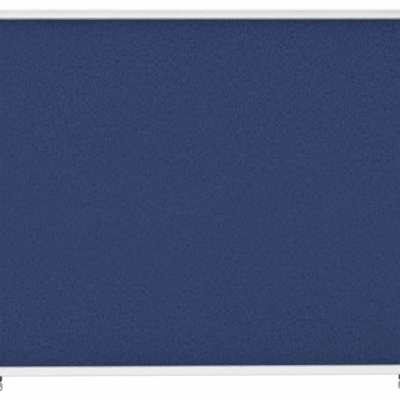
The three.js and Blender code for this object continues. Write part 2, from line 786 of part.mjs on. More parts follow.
function lockHook() {
  const armEnd = hookArmStart + hookArmAngle;
  const tip = hookTipAngle - lockTurn;
  const half = plugNeckSide / 2 + seatGap;
  const hub = new THREE.Shape(arc(0, 0, hookHubRadius, 0, 2 * Math.PI, strutSteps).slice(1));
  hub.holes.push(new THREE.Path(points([[-half, -half], [-half, half], [half, half], [half, -half]])));
  const arm = new THREE.Shape([
    hookPoint(hookHubRadius - rootOverlap, armEnd), hookPoint(hookHubRadius - rootOverlap, hookArmStart),
    ...hookArc(hookOuter, hookArmStart, tip), ...hookArc(hookInner, tip, armEnd),
  ].reverse());
  return joined(slab(hub, hookBottom, hookThickness), slab(arm, hookBottom, hookThickness));
}

function camScrew() {
  const head = hookTop + 2 * seatGap;
  return turnedUpright(points([
    [0, hookTop - camScrewLength], [camScrewRadius, hookTop - camScrewLength], [camScrewRadius, head],
    [camScrewHeadRadius, head], [camScrewHeadRadius, head + camScrewHeadHeight / 2],
    [camScrewHeadRadius - camScrewHeadHeight / 2, head + camScrewHeadHeight],
    [0, head + camScrewHeadHeight],
  ]), strutSteps);
}

function lockCarrier() {
  const front = crownDepth(carrierBottom, doorWall) - slideGap - doorWall / 2;
  const back = hingeDepth + reliefDown(doorRelief + doorWall, carrierBottom) + slideGap;
  const plate = boxBetween(
    new THREE.Vector3(-carrierLength / 2, lockDepth - front, carrierBottom),
    new THREE.Vector3(carrierLength / 2, lockDepth - back, carrierBottom + carrierThickness));
  const boreTop = carrierBottom + carrierThickness + cutOverrun;
  const bore = roundUpright(shankRadius + slideGap, carrierBottom - cutOverrun, boreTop, lockSteps);
  return cut(plate, bore);
}

function strikePlate() {
  const middle = (hookBottom + hookTop) / 2;
  const plate = boxBetween(
    new THREE.Vector3(-strikeLength / 2, flangeFront - strikeThickness, middle - strikeHeight / 2),
    new THREE.Vector3(strikeLength / 2, flangeFront, middle + strikeHeight / 2));
  return cut(plate, hookSlot(flangeFront - strikeThickness, flangeInside)).translate(0, -seatGap, 0);
}

// The key is flat, with its top at the neck; its blade is cut on one side.
function keyOutline() {
  const neckTop = plugFace - slideGap;
  const bowTop = neckTop - keyNeckLength;
  const bowBottom = bowTop - bowHeight;
  const [blade, neck, bow] = [bladeWidth / 2, keyNeckWidth / 2, bowWidth / 2];
  const bladeTop = neckTop + bladeLength;
  const cutStep = bladeLength / (bladeCuts + 1);
  const cuts = [];
  for (let i = bladeCuts; i >= 1; i -= 1) {
    const middle = neckTop + i * cutStep;
    const half = cutStep * bladeCutShare;
    cuts.push([-blade, middle + half], [bladeCutDepth - blade, middle], [-blade, middle - half]);
  }
  return new THREE.Shape([
    ...arc(bow - bowBottomRadius, bowBottom + bowBottomRadius, bowBottomRadius, -Math.PI / 2, 0),
    ...arc(bow - bowTopRadius, bowTop - bowTopRadius, bowTopRadius, 0, Math.PI / 2),
    ...points([
      [neck, bowTop], [neck, neckTop], [blade, neckTop], [blade, bladeTop - bladeCutDepth],
      [0, bladeTop], [-blade, bladeTop - bladeCutDepth], ...cuts, [-blade, neckTop],
      [-neck, neckTop], [-neck, bowTop],
    ]),
    ...arc(bowTopRadius - bow, bowTop - bowTopRadius, bowTopRadius, Math.PI / 2, Math.PI),
    ...arc(bowBottomRadius - bow, bowBottom + bowBottomRadius, bowBottomRadius, Math.PI, 3 * Math.PI / 2),
  ]);
}

function lockKey() {
  const shape = keyOutline();
  const slotEnd = keySlotHeight / 2;
  const slotHalf = keySlotWidth / 2 - slotEnd;
  const slotMiddle = plugFace - slideGap - keyNeckLength - bowHeight + keySlotRise;
  shape.holes.push(new THREE.Path([
    ...arc(slotHalf, slotMiddle, slotEnd, Math.PI / 2, -Math.PI / 2),
    ...arc(-slotHalf, slotMiddle, slotEnd, -Math.PI / 2, -3 * Math.PI / 2),
  ]));
  return panel(shape, keyThickness).translate(0, keyThickness / 2, 0);
}

for (const { name, right } of hands) {
  const lock = groupAt(door, right * lockX, lockDepth, -caseHeight / 2);
  place(lock, `lock_carrier_${name}`, lockCarrier(), corner);
  place(lock, `lock_body_${name}`, lockBody(), lockMetal);
  place(lock, `lock_plug_${name}`, lockPlug(), lockMetal);
  place(lock, `lock_hook_${name}`, lockHook(), steel);
  place(lock, `cam_screw_${name}`, camScrew(), steel);
  place(lock, `key_${name}`, lockKey(), keyMetal);
  const strike = groupAt(part, right * lockX, lockDepth, -caseHeight / 2);
  place(strike, `strike_plate_${name}`, strikePlate(), steel);
}

export default part;
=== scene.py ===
import json
import math
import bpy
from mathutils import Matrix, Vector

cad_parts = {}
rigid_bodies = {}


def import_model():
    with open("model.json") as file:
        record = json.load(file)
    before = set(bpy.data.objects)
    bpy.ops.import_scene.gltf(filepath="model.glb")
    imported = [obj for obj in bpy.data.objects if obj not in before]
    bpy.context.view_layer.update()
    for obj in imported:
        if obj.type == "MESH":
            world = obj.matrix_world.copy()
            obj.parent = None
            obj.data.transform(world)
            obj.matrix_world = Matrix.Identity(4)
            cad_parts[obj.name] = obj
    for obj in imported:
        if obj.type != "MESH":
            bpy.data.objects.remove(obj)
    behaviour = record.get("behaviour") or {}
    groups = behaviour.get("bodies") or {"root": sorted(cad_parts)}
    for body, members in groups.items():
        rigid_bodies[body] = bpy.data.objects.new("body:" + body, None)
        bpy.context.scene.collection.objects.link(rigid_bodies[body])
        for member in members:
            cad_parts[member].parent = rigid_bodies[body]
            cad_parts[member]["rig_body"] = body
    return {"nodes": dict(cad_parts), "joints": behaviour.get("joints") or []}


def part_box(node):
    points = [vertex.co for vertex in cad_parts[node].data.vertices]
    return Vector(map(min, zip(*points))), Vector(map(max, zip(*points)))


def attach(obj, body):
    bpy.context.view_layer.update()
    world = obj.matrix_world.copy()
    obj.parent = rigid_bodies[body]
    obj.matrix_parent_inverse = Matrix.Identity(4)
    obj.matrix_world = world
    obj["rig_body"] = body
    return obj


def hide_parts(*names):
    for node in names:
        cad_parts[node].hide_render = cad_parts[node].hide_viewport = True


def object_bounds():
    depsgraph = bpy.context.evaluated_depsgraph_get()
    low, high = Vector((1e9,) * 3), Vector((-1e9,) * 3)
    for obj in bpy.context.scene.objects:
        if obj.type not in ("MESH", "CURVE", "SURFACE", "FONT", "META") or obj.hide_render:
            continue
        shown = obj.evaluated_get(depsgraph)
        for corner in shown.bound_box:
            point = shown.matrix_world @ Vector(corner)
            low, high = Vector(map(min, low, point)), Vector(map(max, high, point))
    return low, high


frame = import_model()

from types import SimpleNamespace

import bmesh
import bpy
from bmesh.types import BMEdge, BMFace, BMVert
from mathutils import Matrix, Vector

cadLow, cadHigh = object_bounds()
nodes = frame["nodes"]
joints = {joint["name"]: joint for joint in frame["joints"]}
scene = bpy.context.scene
print("frame loaded")

# Places that most pieces share, in metres
width = cadHigh.x - cadLow.x
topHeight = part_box("case_corner_top_left")[1].z
hingeLine = Vector(joints["door_hinge"]["pos_m"])
sides = [
    {"name": "rail_bottom", "turn": 0, "at": (0, 0, -topHeight)},
    {"name": "stile_left", "turn": 90, "at": (-width / 2, 0, 0)},
    {"name": "rail_top", "turn": 180, "at": (0, 0, topHeight)},
    {"name": "stile_right", "turn": -90, "at": (width / 2, 0, 0)},
]
corners = [
    {"name": "bottom_left", "turn": 0, "at": (-width / 2, 0, -topHeight)},
    {"name": "top_left", "turn": 90, "at": (-width / 2, 0, topHeight)},
    {"name": "top_right", "turn": 180, "at": (width / 2, 0, topHeight)},
    {"name": "bottom_right", "turn": -90, "at": (width / 2, 0, -topHeight)},
]
hands = {"left": -1, "right": 1}
tiny = 1e-6
sharpCorner = math.radians(25)  # a drawn corner that turns more than this is eased
smoothUnder = math.radians(32)  # faces that meet at less than this are shaded as one

# Drawing planes, each as the directions of its first and second coordinate
profilePlane = (Vector((0, 0, 1)), Vector((0, -1, 0)))  # in from the rail's edge, out from the wall
frontPlane = (Vector((1, 0, 0)), Vector((0, 0, 1)))
planPlane = (Vector((1, 0, 0)), Vector((0, 1, 0)))


# A dictionary's values by name, as in p.face.
def values(dictionary):
    return SimpleNamespace(**dictionary)


def camel(name):
    first, *others = name.split("_")
    return first + "".join(word.capitalize() for word in others)


def only(geom, kind):
    return [g for g in geom if isinstance(g, kind)]


# A line drawn from a start through its moves. A move is a point, or (centre, end, steps) for an arc.
def draw(bm, plane, start, moves, closed=True):
    def spot(point):
        return plane[0] * point[0] + plane[1] * point[1]

    first = last = bm.verts.new(spot(start))
    here = Vector(start)
    for move in moves:
        if len(move) == 2:
            last = bmesh.ops.extrude_vert_indiv(bm, verts=[last])["verts"][0]
            here = Vector(move)
        else:
            centre, end, steps = Vector(move[0]), Vector(move[1]), move[2]
            turn = -(here - centre).angle_signed(end - centre)
            swept = bmesh.ops.spin(bm, geom=[last], cent=spot(centre), axis=plane[0].cross(plane[1]),
                                   angle=turn, steps=steps)
            last = only(swept["geom_last"], BMVert)[0]
            here = end
        last.co = spot(here)
    if closed:
        bm.edges.new((last, first))


def bevel(bm, geom, size, segments, affect):
    bmesh.ops.bevel(bm, geom=geom, offset=size, offset_type="OFFSET", segments=segments, profile=0.5,
                    affect=affect, clamp_overlap=affect == "EDGES", material=-1)


# A closed outline as edges, with its sharp corners eased.
def outline(plane, start, moves, ease=0.0):
    bm = bmesh.new()
    draw(bm, plane, start, moves)
    if ease:
        bmesh.ops.contextual_create(bm, geom=bm.edges[:])
        bevel(bm, [v for v in bm.verts if v.calc_edge_angle(0) > sharpCorner], ease, 2, "VERTICES")
        bmesh.ops.delete(bm, geom=bm.faces[:], context="FACES_ONLY")
    return bm


def addTo(bm, other):
    mesh = bpy.data.meshes.new("part")
    other.to_mesh(mesh)
    other.free()
    bm.from_mesh(mesh)
    bpy.data.meshes.remove(mesh)
    return bm


def tidyNormals(bm):
    bmesh.ops.remove_doubles(bm, verts=bm.verts, dist=tiny)
    bmesh.ops.dissolve_degenerate(bm, edges=bm.edges, dist=tiny)
    bmesh.ops.recalc_face_normals(bm, faces=bm.faces)
    return bm


# Faces drawn out into a solid.
def drawnOut(bm, out):
    grown = bmesh.ops.extrude_face_region(bm, geom=bm.faces[:])["geom"]
    bmesh.ops.translate(bm, verts=only(grown, BMVert), vec=out)
    return tidyNormals(bm)


def solidFrom(bm, out):
    bmesh.ops.triangle_fill(bm, edges=bm.edges[:], use_beauty=True, use_dissolve=False)
    return drawnOut(bm, out)


# The edges sharper than some degrees, eased.
def chamfer(bm, size, over=30):
    if size:
        sharp = [e for e in bm.edges if e.is_manifold and e.calc_face_angle() > math.radians(over)]
        bevel(bm, sharp, size, 2, "EDGES")
    return bm


# A line in the front plane turned about Z.
def turned(start, moves, steps, ease=0.0):
    bm = bmesh.new()
    draw(bm, frontPlane, start, moves, closed=False)
    bmesh.ops.spin(bm, geom=bm.verts[:] + bm.edges[:], cent=(0, 0, 0), axis=(0, 0, 1),
                   angle=2 * math.pi, steps=steps, use_merge=True)
    return chamfer(tidyNormals(bm), ease)


def block(low, high, ease=0.0):
    bm = bmesh.new()
    low, high = Vector(low), Vector(high)
    place = Matrix.Translation((low + high) / 2) @ Matrix.Diagonal((*(high - low), 1))
    bmesh.ops.create_cube(bm, size=1, matrix=place)
    return chamfer(bm, ease)


# A bar along Z between two heights.
def rod(radius, start, end, steps, ease=0.0):
    low, high = sorted((start, end))
    return turned((0, low), [(radius, low), (radius, high), (0, high)], steps, ease)


def placeAt(at, degrees, axis):
    return Matrix.Translation(at) @ Matrix.Rotation(math.radians(degrees), 4, axis)


def toX(bm):
    bm.transform(placeAt((0, 0, 0), 90, "Y"))
    return bm


def shifted(bm, x=0, y=0, z=0):
    bmesh.ops.translate(bm, verts=bm.verts, vec=(x, y, z))
    return bm


# A plate in the front plane with rounded corners, thick towards the wall.
def flatPlate(wide, high, thick, radius, radiusSteps, ease=0.0):
    bm = bmesh.new()
    place = placeAt((0, 0, 0), 90, "X") @ Matrix.Diagonal((wide, high, 1, 1))
    bmesh.ops.create_grid(bm, x_segments=1, y_segments=1, size=0.5, matrix=place)
    bevel(bm, bm.verts[:], radius, radiusSteps, "VERTICES")
    return chamfer(drawnOut(bm, (0, thick, 0)), ease)


def combine(bm, other, how):
    holders = []
    for shape in (bm, other):
        mesh = bpy.data.meshes.new("shape")
        shape.to_mesh(mesh)
        shape.free()
        holder = bpy.data.objects.new("shape", mesh)
        scene.collection.objects.link(holder)
        holders.append(holder)
    modifier = holders[0].modifiers.new("combine", "BOOLEAN")
    modifier.operation = how
    modifier.solver = "EXACT"
    modifier.object = holders[1]
    done = bmesh.new()
    done.from_object(holders[0], bpy.context.evaluated_depsgraph_get())
    for holder in holders:
        mesh = holder.data
        bpy.data.objects.remove(holder)
        bpy.data.meshes.remove(mesh)
    return tidyNormals(done)


def joined(bm, *others):
    for other in others:
        bm = combine(bm, other, "UNION")
    return bm


def cut(bm, *others):
    for other in others:
        bm = combine(bm, other, "DIFFERENCE")
    return bm


# The run of a drawn or rolled piece is kept with its points, for the lines of its finish.
def keepRun(bm):
    run = bm.verts.layers.float_vector.new("run")
    for vert in bm.verts:
        vert[run] = vert.co
    return bm


# A finished piece on its node's body. It has the node's name in camelCase and stands for the node.
def finish(bm, node, slot, name=None, stands=True):
    for edge in bm.edges:
        edge.smooth = not edge.is_manifold or edge.calc_face_angle() < smoothUnder
    for face in bm.faces:
        face.smooth = True
    name = name or camel(node)
    mesh = bpy.data.meshes.new(name)
    bm.to_mesh(mesh)
    bm.free()
    mesh.materials.append(looks[slot])
    piece = bpy.data.objects.new(name, mesh)
    scene.collection.objects.link(piece)
    weighted = piece.modifiers.new("weightedNormals", "WEIGHTED_NORMAL")
    weighted.keep_sharp = True
    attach(piece, nodes[node]["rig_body"])
    if stands:
        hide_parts(node)
    return piece


# Inputs of a node, each a value or another node's output.
def feed(tree, node, inputs):
    for key, value in inputs.items():
        if isinstance(value, bpy.types.NodeSocket):
            tree.links.new(value, node.inputs[key])
        else:
            node.inputs[key].default_value = value


def addNode(tree, kind, inputs=None, **settings):
    made = tree.nodes.new("ShaderNode" + kind)
    for key, value in settings.items():
        setattr(made, key, value)  # the group comes first, because it makes the inputs
    feed(tree, made, inputs or {})
    return made


def addMath(tree, operation, first, second):
    return addNode(tree, "Math", {0: first, 1: second}, operation=operation).outputs[0]


def noise(tree, place, scale, detail=2.0, roughness=0.5, distortion=0.0):
    return addNode(tree, "TexNoise", {"Vector": place, "Scale": scale, "Detail": detail,
                                      "Roughness": roughness, "Distortion": distortion}).outputs


# A place pushed about by a noise, so that what is drawn there has no straight lines.
def warped(tree, place, push, amount):
    return addNode(tree, "VectorMath", {0: push["Color"], 1: amount, 2: place},
                   operation="MULTIPLY_ADD").outputs[0]


# A value of the surface spread between two numbers.
def between(tree, value, low, high, fromLow=0.3, fromHigh=0.7):
    return addNode(tree, "MapRange", {"Value": value, "From Min": fromLow, "From Max": fromHigh,
                                      "To Min": low, "To Max": high}).outputs[0]


def mixed(tree, share, first, second):
    ends = [c if isinstance(c, bpy.types.NodeSocket) else (*c, 1) for c in (first, second)]
    return addNode(tree, "Mix", {"Factor": share, 6: ends[0], 7: ends[1]}, data_type="RGBA").outputs[2]


def colourBetween(tree, value, low, high, fromLow=0.3, fromHigh=0.7):
    return mixed(tree, between(tree, value, 0.0, 1.0, fromLow, fromHigh), low, high)


def bump(tree, height, depth, normal=None):
    inputs = {"Height": height, "Strength": 1.0, "Distance": depth}
    if normal:
        inputs["Normal"] = normal
    return addNode(tree, "Bump", inputs).outputs[0]


def shade(colour, share):
    return tuple(c * share for c in colour)


# A node group that works from a place and some numbers, and puts out masks.
def newGroup(name, numbers, masks):
    group = bpy.data.node_groups.new(name, "ShaderNodeTree")
    group.interface.new_socket(name="Place", in_out="INPUT", socket_type="NodeSocketVector")
    for key, value in numbers.items():
        socket = group.interface.new_socket(name=key, in_out="INPUT", socket_type="NodeSocketFloat")
        socket.default_value = value
    for key in masks:
        group.interface.new_socket(name=key, in_out="OUTPUT", socket_type="NodeSocketFloat")
    return group, group.nodes.new("NodeGroupInput").outputs, group.nodes.new("NodeGroupOutput")


# Fine lines along X of the given place, as drawing or brushing leaves them.
def makeLinesGroup():
    group, given, out = newGroup("drawnLines", {"Fineness": 2600.0, "Run": 9.0}, ("Lines", "Bands"))
    scale = addNode(group, "CombineXYZ", {"X": given["Run"], "Y": given["Fineness"], "Z": given["Fineness"]})
    spread = addNode(group, "VectorMath", {0: given["Place"], 1: scale.outputs[0]},
                     operation="MULTIPLY").outputs[0]
    feed(group, out, {"Lines": noise(group, spread, scale=1.0, detail=5.0, roughness=0.65)["Fac"],
                      "Bands": noise(group, spread, scale=0.13)["Fac"]})
    return group


# The close grain of moulded, cast or painted surfaces.
def makeGrainGroup():
    group, given, out = newGroup("closeGrain", {"Scale": 1200.0}, ("Grain", "Mottle"))
    place, mottleShare = given["Place"], 0.08
    mottleScale = addMath(group, "MULTIPLY", given["Scale"], mottleShare)
    feed(group, out, {"Grain": noise(group, place, given["Scale"], detail=4.0, roughness=0.6)["Fac"],
                      "Mottle": noise(group, place, mottleScale, detail=3.0)["Fac"]})
    return group


# Faint marks of handling: broad wiped patches and a few hairline scratches.
def makeHandlingGroup():
    group, given, out = newGroup("handling", {"Patch Scale": 9.0, "Scratch Scale": 60.0},
                                 ("Patches", "Scratches"))
    place, scratchWidth = given["Place"], 0.012
    patches = noise(group, place, given["Patch Scale"], detail=3.0, distortion=0.6)["Fac"]
    moved = warped(group, place, noise(group, place, scale=14.0, detail=1.0), (0.02, 0.02, 0.02))
    cells = addNode(group, "TexVoronoi", {"Vector": moved, "Scale": given["Scratch Scale"]},
                    feature="DISTANCE_TO_EDGE").outputs
    thin = between(group, cells["Distance"], 1.0, 0.0, fromLow=0.0, fromHigh=scratchWidth)
    some = between(group, patches, 0.0, 1.0, fromLow=0.55, fromHigh=0.7)
    feed(group, out, {"Patches": patches, "Scratches": addMath(group, "MULTIPLY", thin, some)})
    return group


linesGroup = makeLinesGroup()
grainGroup = makeGrainGroup()
handlingGroup = makeHandlingGroup()


def placed(tree, group, place, numbers):
    return addNode(tree, "Group", {"Place": place, **numbers}, node_tree=group).outputs


def newMaterial(name, colour, roughness, **others):
    material = bpy.data.materials.new(name)
    material.use_nodes = True
    tree = material.node_tree
    shader = tree.nodes["Principled BSDF"]
    feed(tree, shader, {"Base Color": (*colour, 1), "Roughness": roughness, **others})
    return material, tree, shader


def objectPlace(tree):
    return addNode(tree, "TexCoord").outputs["Object"]


aluminiumLook = {
    "colour": (0.705, 0.712, 0.723), "worn": 0.965,
    "innerColour": (0.93, 0.935, 0.94),
    # the inner side's paler colour is painted light on the strips seen past the face
    "metallic": (0.08, 0.45),
    "faceFrom": 0.0395, "faceInner": 0.0231,  # depth and inset at which the crowned face starts
    "faceFade": 0.0005, "innerFade": 0.0003,
    "roughness": (0.30, 0.40),
    "lineDepth": 0.0000015,
}


# Drawn and anodised: fine lines along the run, broad bands, a few marks. The crowned face is brushed and
# the outer side etched. The inner side is painted paler, as painted light on the strips seen past the face.
def makeAluminium():
    look = values(aluminiumLook)
    material, tree, shader = newMaterial("anodisedAluminium", look.colour, 0.35)
    run = addNode(tree, "Attribute", attribute_name="run").outputs["Vector"]
    across = addNode(tree, "SeparateXYZ", {0: run}).outputs
    front = between(tree, across["Y"], 1.0, 0.0, -look.faceFrom, look.faceFade - look.faceFrom)
    # outer is 1 on the face and the outer side; further in, the colour is painted paler as painted light
    outer = between(tree, across["Z"], 1.0, 0.0, look.faceInner, look.faceInner + look.innerFade)
    face = addMath(tree, "MULTIPLY", front, outer)
    lines = placed(tree, linesGroup, run, {"Fineness": 2600.0, "Run": 7.0})
    marks = placed(tree, handlingGroup, run, {"Patch Scale": 6.0, "Scratch Scale": 35.0})
    both = addMath(tree, "ADD", lines["Bands"], marks["Patches"])
    worn = colourBetween(tree, both, shade(look.colour, look.worn), look.colour, 0.8, 1.2)
    feed(tree, shader, {
        # the inner side takes the paler colour: painted light
        "Base Color": mixed(tree, outer, look.innerColour, worn),
        "Metallic": between(tree, face, *look.metallic, 0.0, 1.0),
        "Roughness": between(tree, both, *look.roughness, 0.8, 1.2),
        "Normal": bump(tree, lines["Lines"], look.lineDepth)})
    return material


mouldingLook = {"colour": (0.50, 0.51, 0.52), "worn": 0.95, "roughness": (0.42, 0.55),
                "grainDepth": 0.00003}


def makeMoulding():
    look = values(mouldingLook)
    material, tree, shader = newMaterial("cornerMoulding", look.colour, 0.5)
    place = objectPlace(tree)
    grain = placed(tree, grainGroup, place, {"Scale": 1500.0})
    marks = placed(tree, handlingGroup, place, {"Patch Scale": 30.0, "Scratch Scale": 90.0})
    feed(tree, shader, {
        "Base Color": colourBetween(tree, grain["Mottle"], shade(look.colour, look.worn), look.colour),
        "Roughness": between(tree, marks["Patches"], *look.roughness),
        "Normal": bump(tree, grain["Grain"], look.grainDepth)})
    return material


sheetLook = {
    "dark": (0.44, 0.46, 0.475), "light": (0.60, 0.62, 0.635), "metallic": 0.9,
    "spangleScale": 95.0, "spangleBend": (0.008, 0.008, 0.008), "spangleDepth": 0.00002,
    "roughness": (0.38, 0.55),
}


# Hot dip galvanised: crystals a centimetre across, each with its own brightness.
def makeGalvanised():
    look = values(sheetLook)
    material, tree, shader = newMaterial("galvanisedSheet", look.light, 0.45, Metallic=look.metallic)
    place = objectPlace(tree)
    moved = warped(tree, place, noise(tree, place, scale=160.0), look.spangleBend)
    crystals = addNode(tree, "TexVoronoi", {"Vector": moved, "Scale": look.spangleScale}).outputs
    own = addNode(tree, "SeparateColor", {"Color": crystals["Color"]}).outputs
    marks = placed(tree, handlingGroup, place, {"Patch Scale": 5.0, "Scratch Scale": 20.0})
    rough = addMath(tree, "ADD", own[1], marks["Patches"])
    feed(tree, shader, {
        "Base Color": colourBetween(tree, own[0], look.dark, look.light, 0.0, 1.0),
        "Roughness": between(tree, rough, *look.roughness, 0.4, 1.4),
        "Normal": bump(tree, own[2], look.spangleDepth)})
    return material


boardLook = {"dark": (0.30, 0.21, 0.12), "light": (0.55, 0.42, 0.27), "fibreDepth": 0.0003}


def makeFibreboard():
    look = values(boardLook)
    material, tree, shader = newMaterial("softFibreboard", look.light, 0.95)
    place = objectPlace(tree)
    grain = placed(tree, grainGroup, place, {"Scale": 900.0})
    chips = placed(tree, grainGroup, place, {"Scale": 2600.0})
    both = addMath(tree, "ADD", grain["Grain"], chips["Mottle"])
    feed(tree, shader, {"Base Color": colourBetween(tree, both, look.dark, look.light, 0.75, 1.25),
                        "Normal": bump(tree, grain["Grain"], look.fibreDepth)})
    return material


feltLook = {
    # deep colours the tufts' hollows, and raised colours their tops and the loose fibres: fibre tone, with
    # painted shade in the hollows and painted light on the tops
    "deep": (0.0141, 0.0226, 0.0644), "colour": (0.0251, 0.0404, 0.115), "raised": (0.0358, 0.0577, 0.1643),
    "sheen": 0.12, "sheenRoughness": 0.5, "sheenTint": (0.55, 0.62, 0.85), "specular": 0.15,
    "tuftWidth": 0.0023, "tuftHeight": 0.0049, "tuftDepth": 0.0005,
    "fibreScale": (2400, 620, 1), "crossScale": (2100, 560, 1), "crossTurn": 68, "fibreDepth": 0.0004,
    "fibreBend": (0.003, 0.003, 0.0), "fibreShare": 0.35,
}


# Needled felt: soft tufts a few millimetres across, taller than wide, and loose fibres over them.
def makeFelt():
    look = values(feltLook)
    material, tree, shader = newMaterial("blueFelt", look.colour, 0.95, **{
        "Sheen Weight": look.sheen, "Sheen Roughness": look.sheenRoughness,
        "Sheen Tint": (*look.sheenTint, 1), "Specular IOR Level": look.specular})
    place = addNode(tree, "UVMap", uv_map="cloth").outputs[0]

    def mapped(at, scale, turn=0):
        return addNode(tree, "Mapping", {"Vector": at, "Rotation": (0, 0, math.radians(turn)),
                                         "Scale": scale}).outputs[0]

    tufts = mapped(place, (1 / look.tuftWidth, 1 / look.tuftHeight, 1))
    soft = noise(tree, tufts, scale=0.56, detail=2.5, roughness=0.6, distortion=0.3)["Fac"]
    moved = warped(tree, place, noise(tree, tufts, scale=1.6, detail=1.0), look.fibreBend)
    fibres, crossed = (noise(tree, spot, scale=1.0, detail=3.0, roughness=0.7)["Fac"] for spot in (
        mapped(moved, look.fibreScale), mapped(moved, look.crossScale, look.crossTurn)))
    loose = addMath(tree, "MAXIMUM", fibres, crossed)
    # darker where the tuft bump is low and lighter where it is high: painted shade and painted light over
    # the fibre tone
    low = colourBetween(tree, soft, look.deep, look.raised, 0.33, 0.67)
    # loose fibres take the raised colour, which is partly painted light on them
    feed(tree, shader, {
        "Base Color": mixed(tree, between(tree, loose, 0.0, look.fibreShare, 0.5, 0.75), low, look.raised),
        "Normal": bump(tree, loose, look.fibreDepth, bump(tree, soft, look.tuftDepth))})
    return material


rubberLook = {"dusty": 1.5, "roughnessSpread": 0.08, "grainDepth": 0.00002}


def makeRubber(name, colour, roughness):
    look = values(rubberLook)
    material, tree, shader = newMaterial(name, colour, roughness)
    grain = placed(tree, grainGroup, objectPlace(tree), {"Scale": 2200.0})
    spread = look.roughnessSpread
    feed(tree, shader, {
        "Base Color": colourBetween(tree, grain["Mottle"], colour, shade(colour, look.dusty)),
        "Roughness": between(tree, grain["Mottle"], roughness - spread, roughness + spread),
        "Normal": bump(tree, grain["Grain"], look.grainDepth)})
    return material


glassLook = {
    "colour": (0.972, 0.985, 0.98), "worn": 0.98, "lightThrough": (0.955, 0.962, 0.96),
    "roughness": 0.0, "scratchRoughness": 0.04, "ior": 1.5, "reflection": (0.035, 0.038, 0.042),
}


# The light that reaches the board passes straight through.
def makeGlass():
    look = values(glassLook)
    material, tree, shader = newMaterial("clearGlass", look.colour, look.roughness, **{
        "Transmission Weight": 1.0, "IOR": look.ior, "Specular Tint": (*look.reflection, 1)})
    marks = placed(tree, handlingGroup, objectPlace(tree), {"Patch Scale": 4.0, "Scratch Scale": 3.0})
    feed(tree, shader, {
        "Base Color": colourBetween(tree, marks["Patches"], shade(look.colour, look.worn), look.colour),
        "Roughness": between(tree, marks["Scratches"], look.roughness, look.scratchRoughness, 0.0, 1.0)})
    clear = addNode(tree, "BsdfTransparent", {"Color": (*look.lightThrough, 1)})
    ray = addNode(tree, "LightPath").outputs
    lighting = addMath(tree, "MAXIMUM", ray["Is Shadow Ray"], ray["Is Diffuse Ray"])
    both = addNode(tree, "MixShader", {0: lighting, 1: shader.outputs[0], 2: clear.outputs[0]})
    output = next(n for n in tree.nodes if n.type == "OUTPUT_MATERIAL")
    feed(tree, output, {"Surface": both.outputs[0]})
    return material


# Bare or plated metal with a fine brushed grain and scratches from use.
def makeMetal(name, colour, roughness, fineness=1800.0, stretch=60.0):
    worn, lineDepth = 0.88, 0.000003
    material, tree, shader = newMaterial(name, colour, sum(roughness) / 2, Metallic=1.0)
    place = objectPlace(tree)
    lines = placed(tree, linesGroup, place, {"Fineness": fineness, "Run": stretch})
    marks = placed(tree, handlingGroup, place, {"Patch Scale": 60.0, "Scratch Scale": 220.0})
    rough = addMath(tree, "ADD", lines["Bands"], marks["Scratches"])
    feed(tree, shader, {
        "Base Color": colourBetween(tree, marks["Patches"], shade(colour, worn), colour),
        "Roughness": between(tree, rough, *roughness, 0.35, 0.9),
        "Normal": bump(tree, lines["Lines"], lineDepth)})
    return material


paintLook = {"colour": (0.012, 0.012, 0.013), "scratched": (0.09, 0.09, 0.09), "roughness": (0.28, 0.45),
             "coat": 0.2, "grainDepth": 0.00004}


def makePaint():
    look = values(paintLook)
    material, tree, shader = newMaterial("strutPaint", look.colour, 0.35, **{"Coat Weight": look.coat})
    place = objectPlace(tree)
    grain = placed(tree, grainGroup, place, {"Scale": 500.0})
    marks = placed(tree, handlingGroup, place, {"Patch Scale": 25.0, "Scratch Scale": 120.0})
    feed(tree, shader, {
        "Base Color": colourBetween(tree, marks["Scratches"], look.colour, look.scratched, 0.0, 1.0),
        "Roughness": between(tree, marks["Patches"], *look.roughness),
        "Normal": bump(tree, grain["Grain"], look.grainDepth)})
    return material


looks = {
    "anodised_aluminium": makeAluminium(),
    "corner_moulding": makeMoulding(),
    "galvanised_sheet": makeGalvanised(),
    "soft_fibreboard": makeFibreboard(),
    "blue_felt": makeFelt(),
    "black_seal": makeRubber("blackSeal", (0.014, 0.014, 0.015), 0.62),
    "grey_gasket": makeRubber("greyGasket", (0.66, 0.665, 0.67), 0.6),
    "clear_glass": makeGlass(),
    "bright_steel": makeMetal("brightSteel", (0.62, 0.63, 0.64), (0.26, 0.42)),
    "strut_black": makePaint(),
    "lock_nickel": makeMetal("lockNickel", (0.084, 0.074, 0.056), (0.22, 0.36), 2400.0, 2400.0),
    "key_nickel": makeMetal("keyNickel", (0.35, 0.35, 0.35), (0.26, 0.4), 2200.0, 90.0),
}
print("materials made")

# Profiles of case and door, as distance in from the rail's outer edge and depth from the wall

caseProfile = {
    "face": 0.0235, "wall": 0.0018, "webBack": 0.0012, "webFront": 0.0024, "webReach": 0.014,
    "chamberBack": 0.0131, "innerWall": 0.0012, "frontWall": 0.0015, "front": 0.0206,
    "relief": 0.0034, "ease": 0.0003, "reliefSteps": 12,
}
doorProfile = {
    "face": 0.024, "back": 0.0226, "grooveFloor": 0.015, "grooveBack": 0.0344, "grooveFront": 0.04,
    "front": 0.045, "wall": 0.0016, "landWall": 0.002, "relief": 0.0042, "ease": 0.00025,
    "crownRadius": 0.06, "crest": 0.018, "edgeRadius": 0.007, "lipRadius": 0.001,
    "crownSteps": 14, "edgeSteps": 12, "lipSteps": 5, "reliefSteps": 12,
}
hingeCentre = Vector((topHeight - hingeLine.z, -hingeLine.y))


def reliefAt(radius, depth):
    return Vector((hingeCentre.x + math.sqrt(radius ** 2 - (depth - hingeCentre.y) ** 2), depth))


def reliefSide(radius, inset, sign):
    return Vector((inset, hingeCentre.y + sign * math.sqrt(radius ** 2 - (inset - hingeCentre.x) ** 2)))


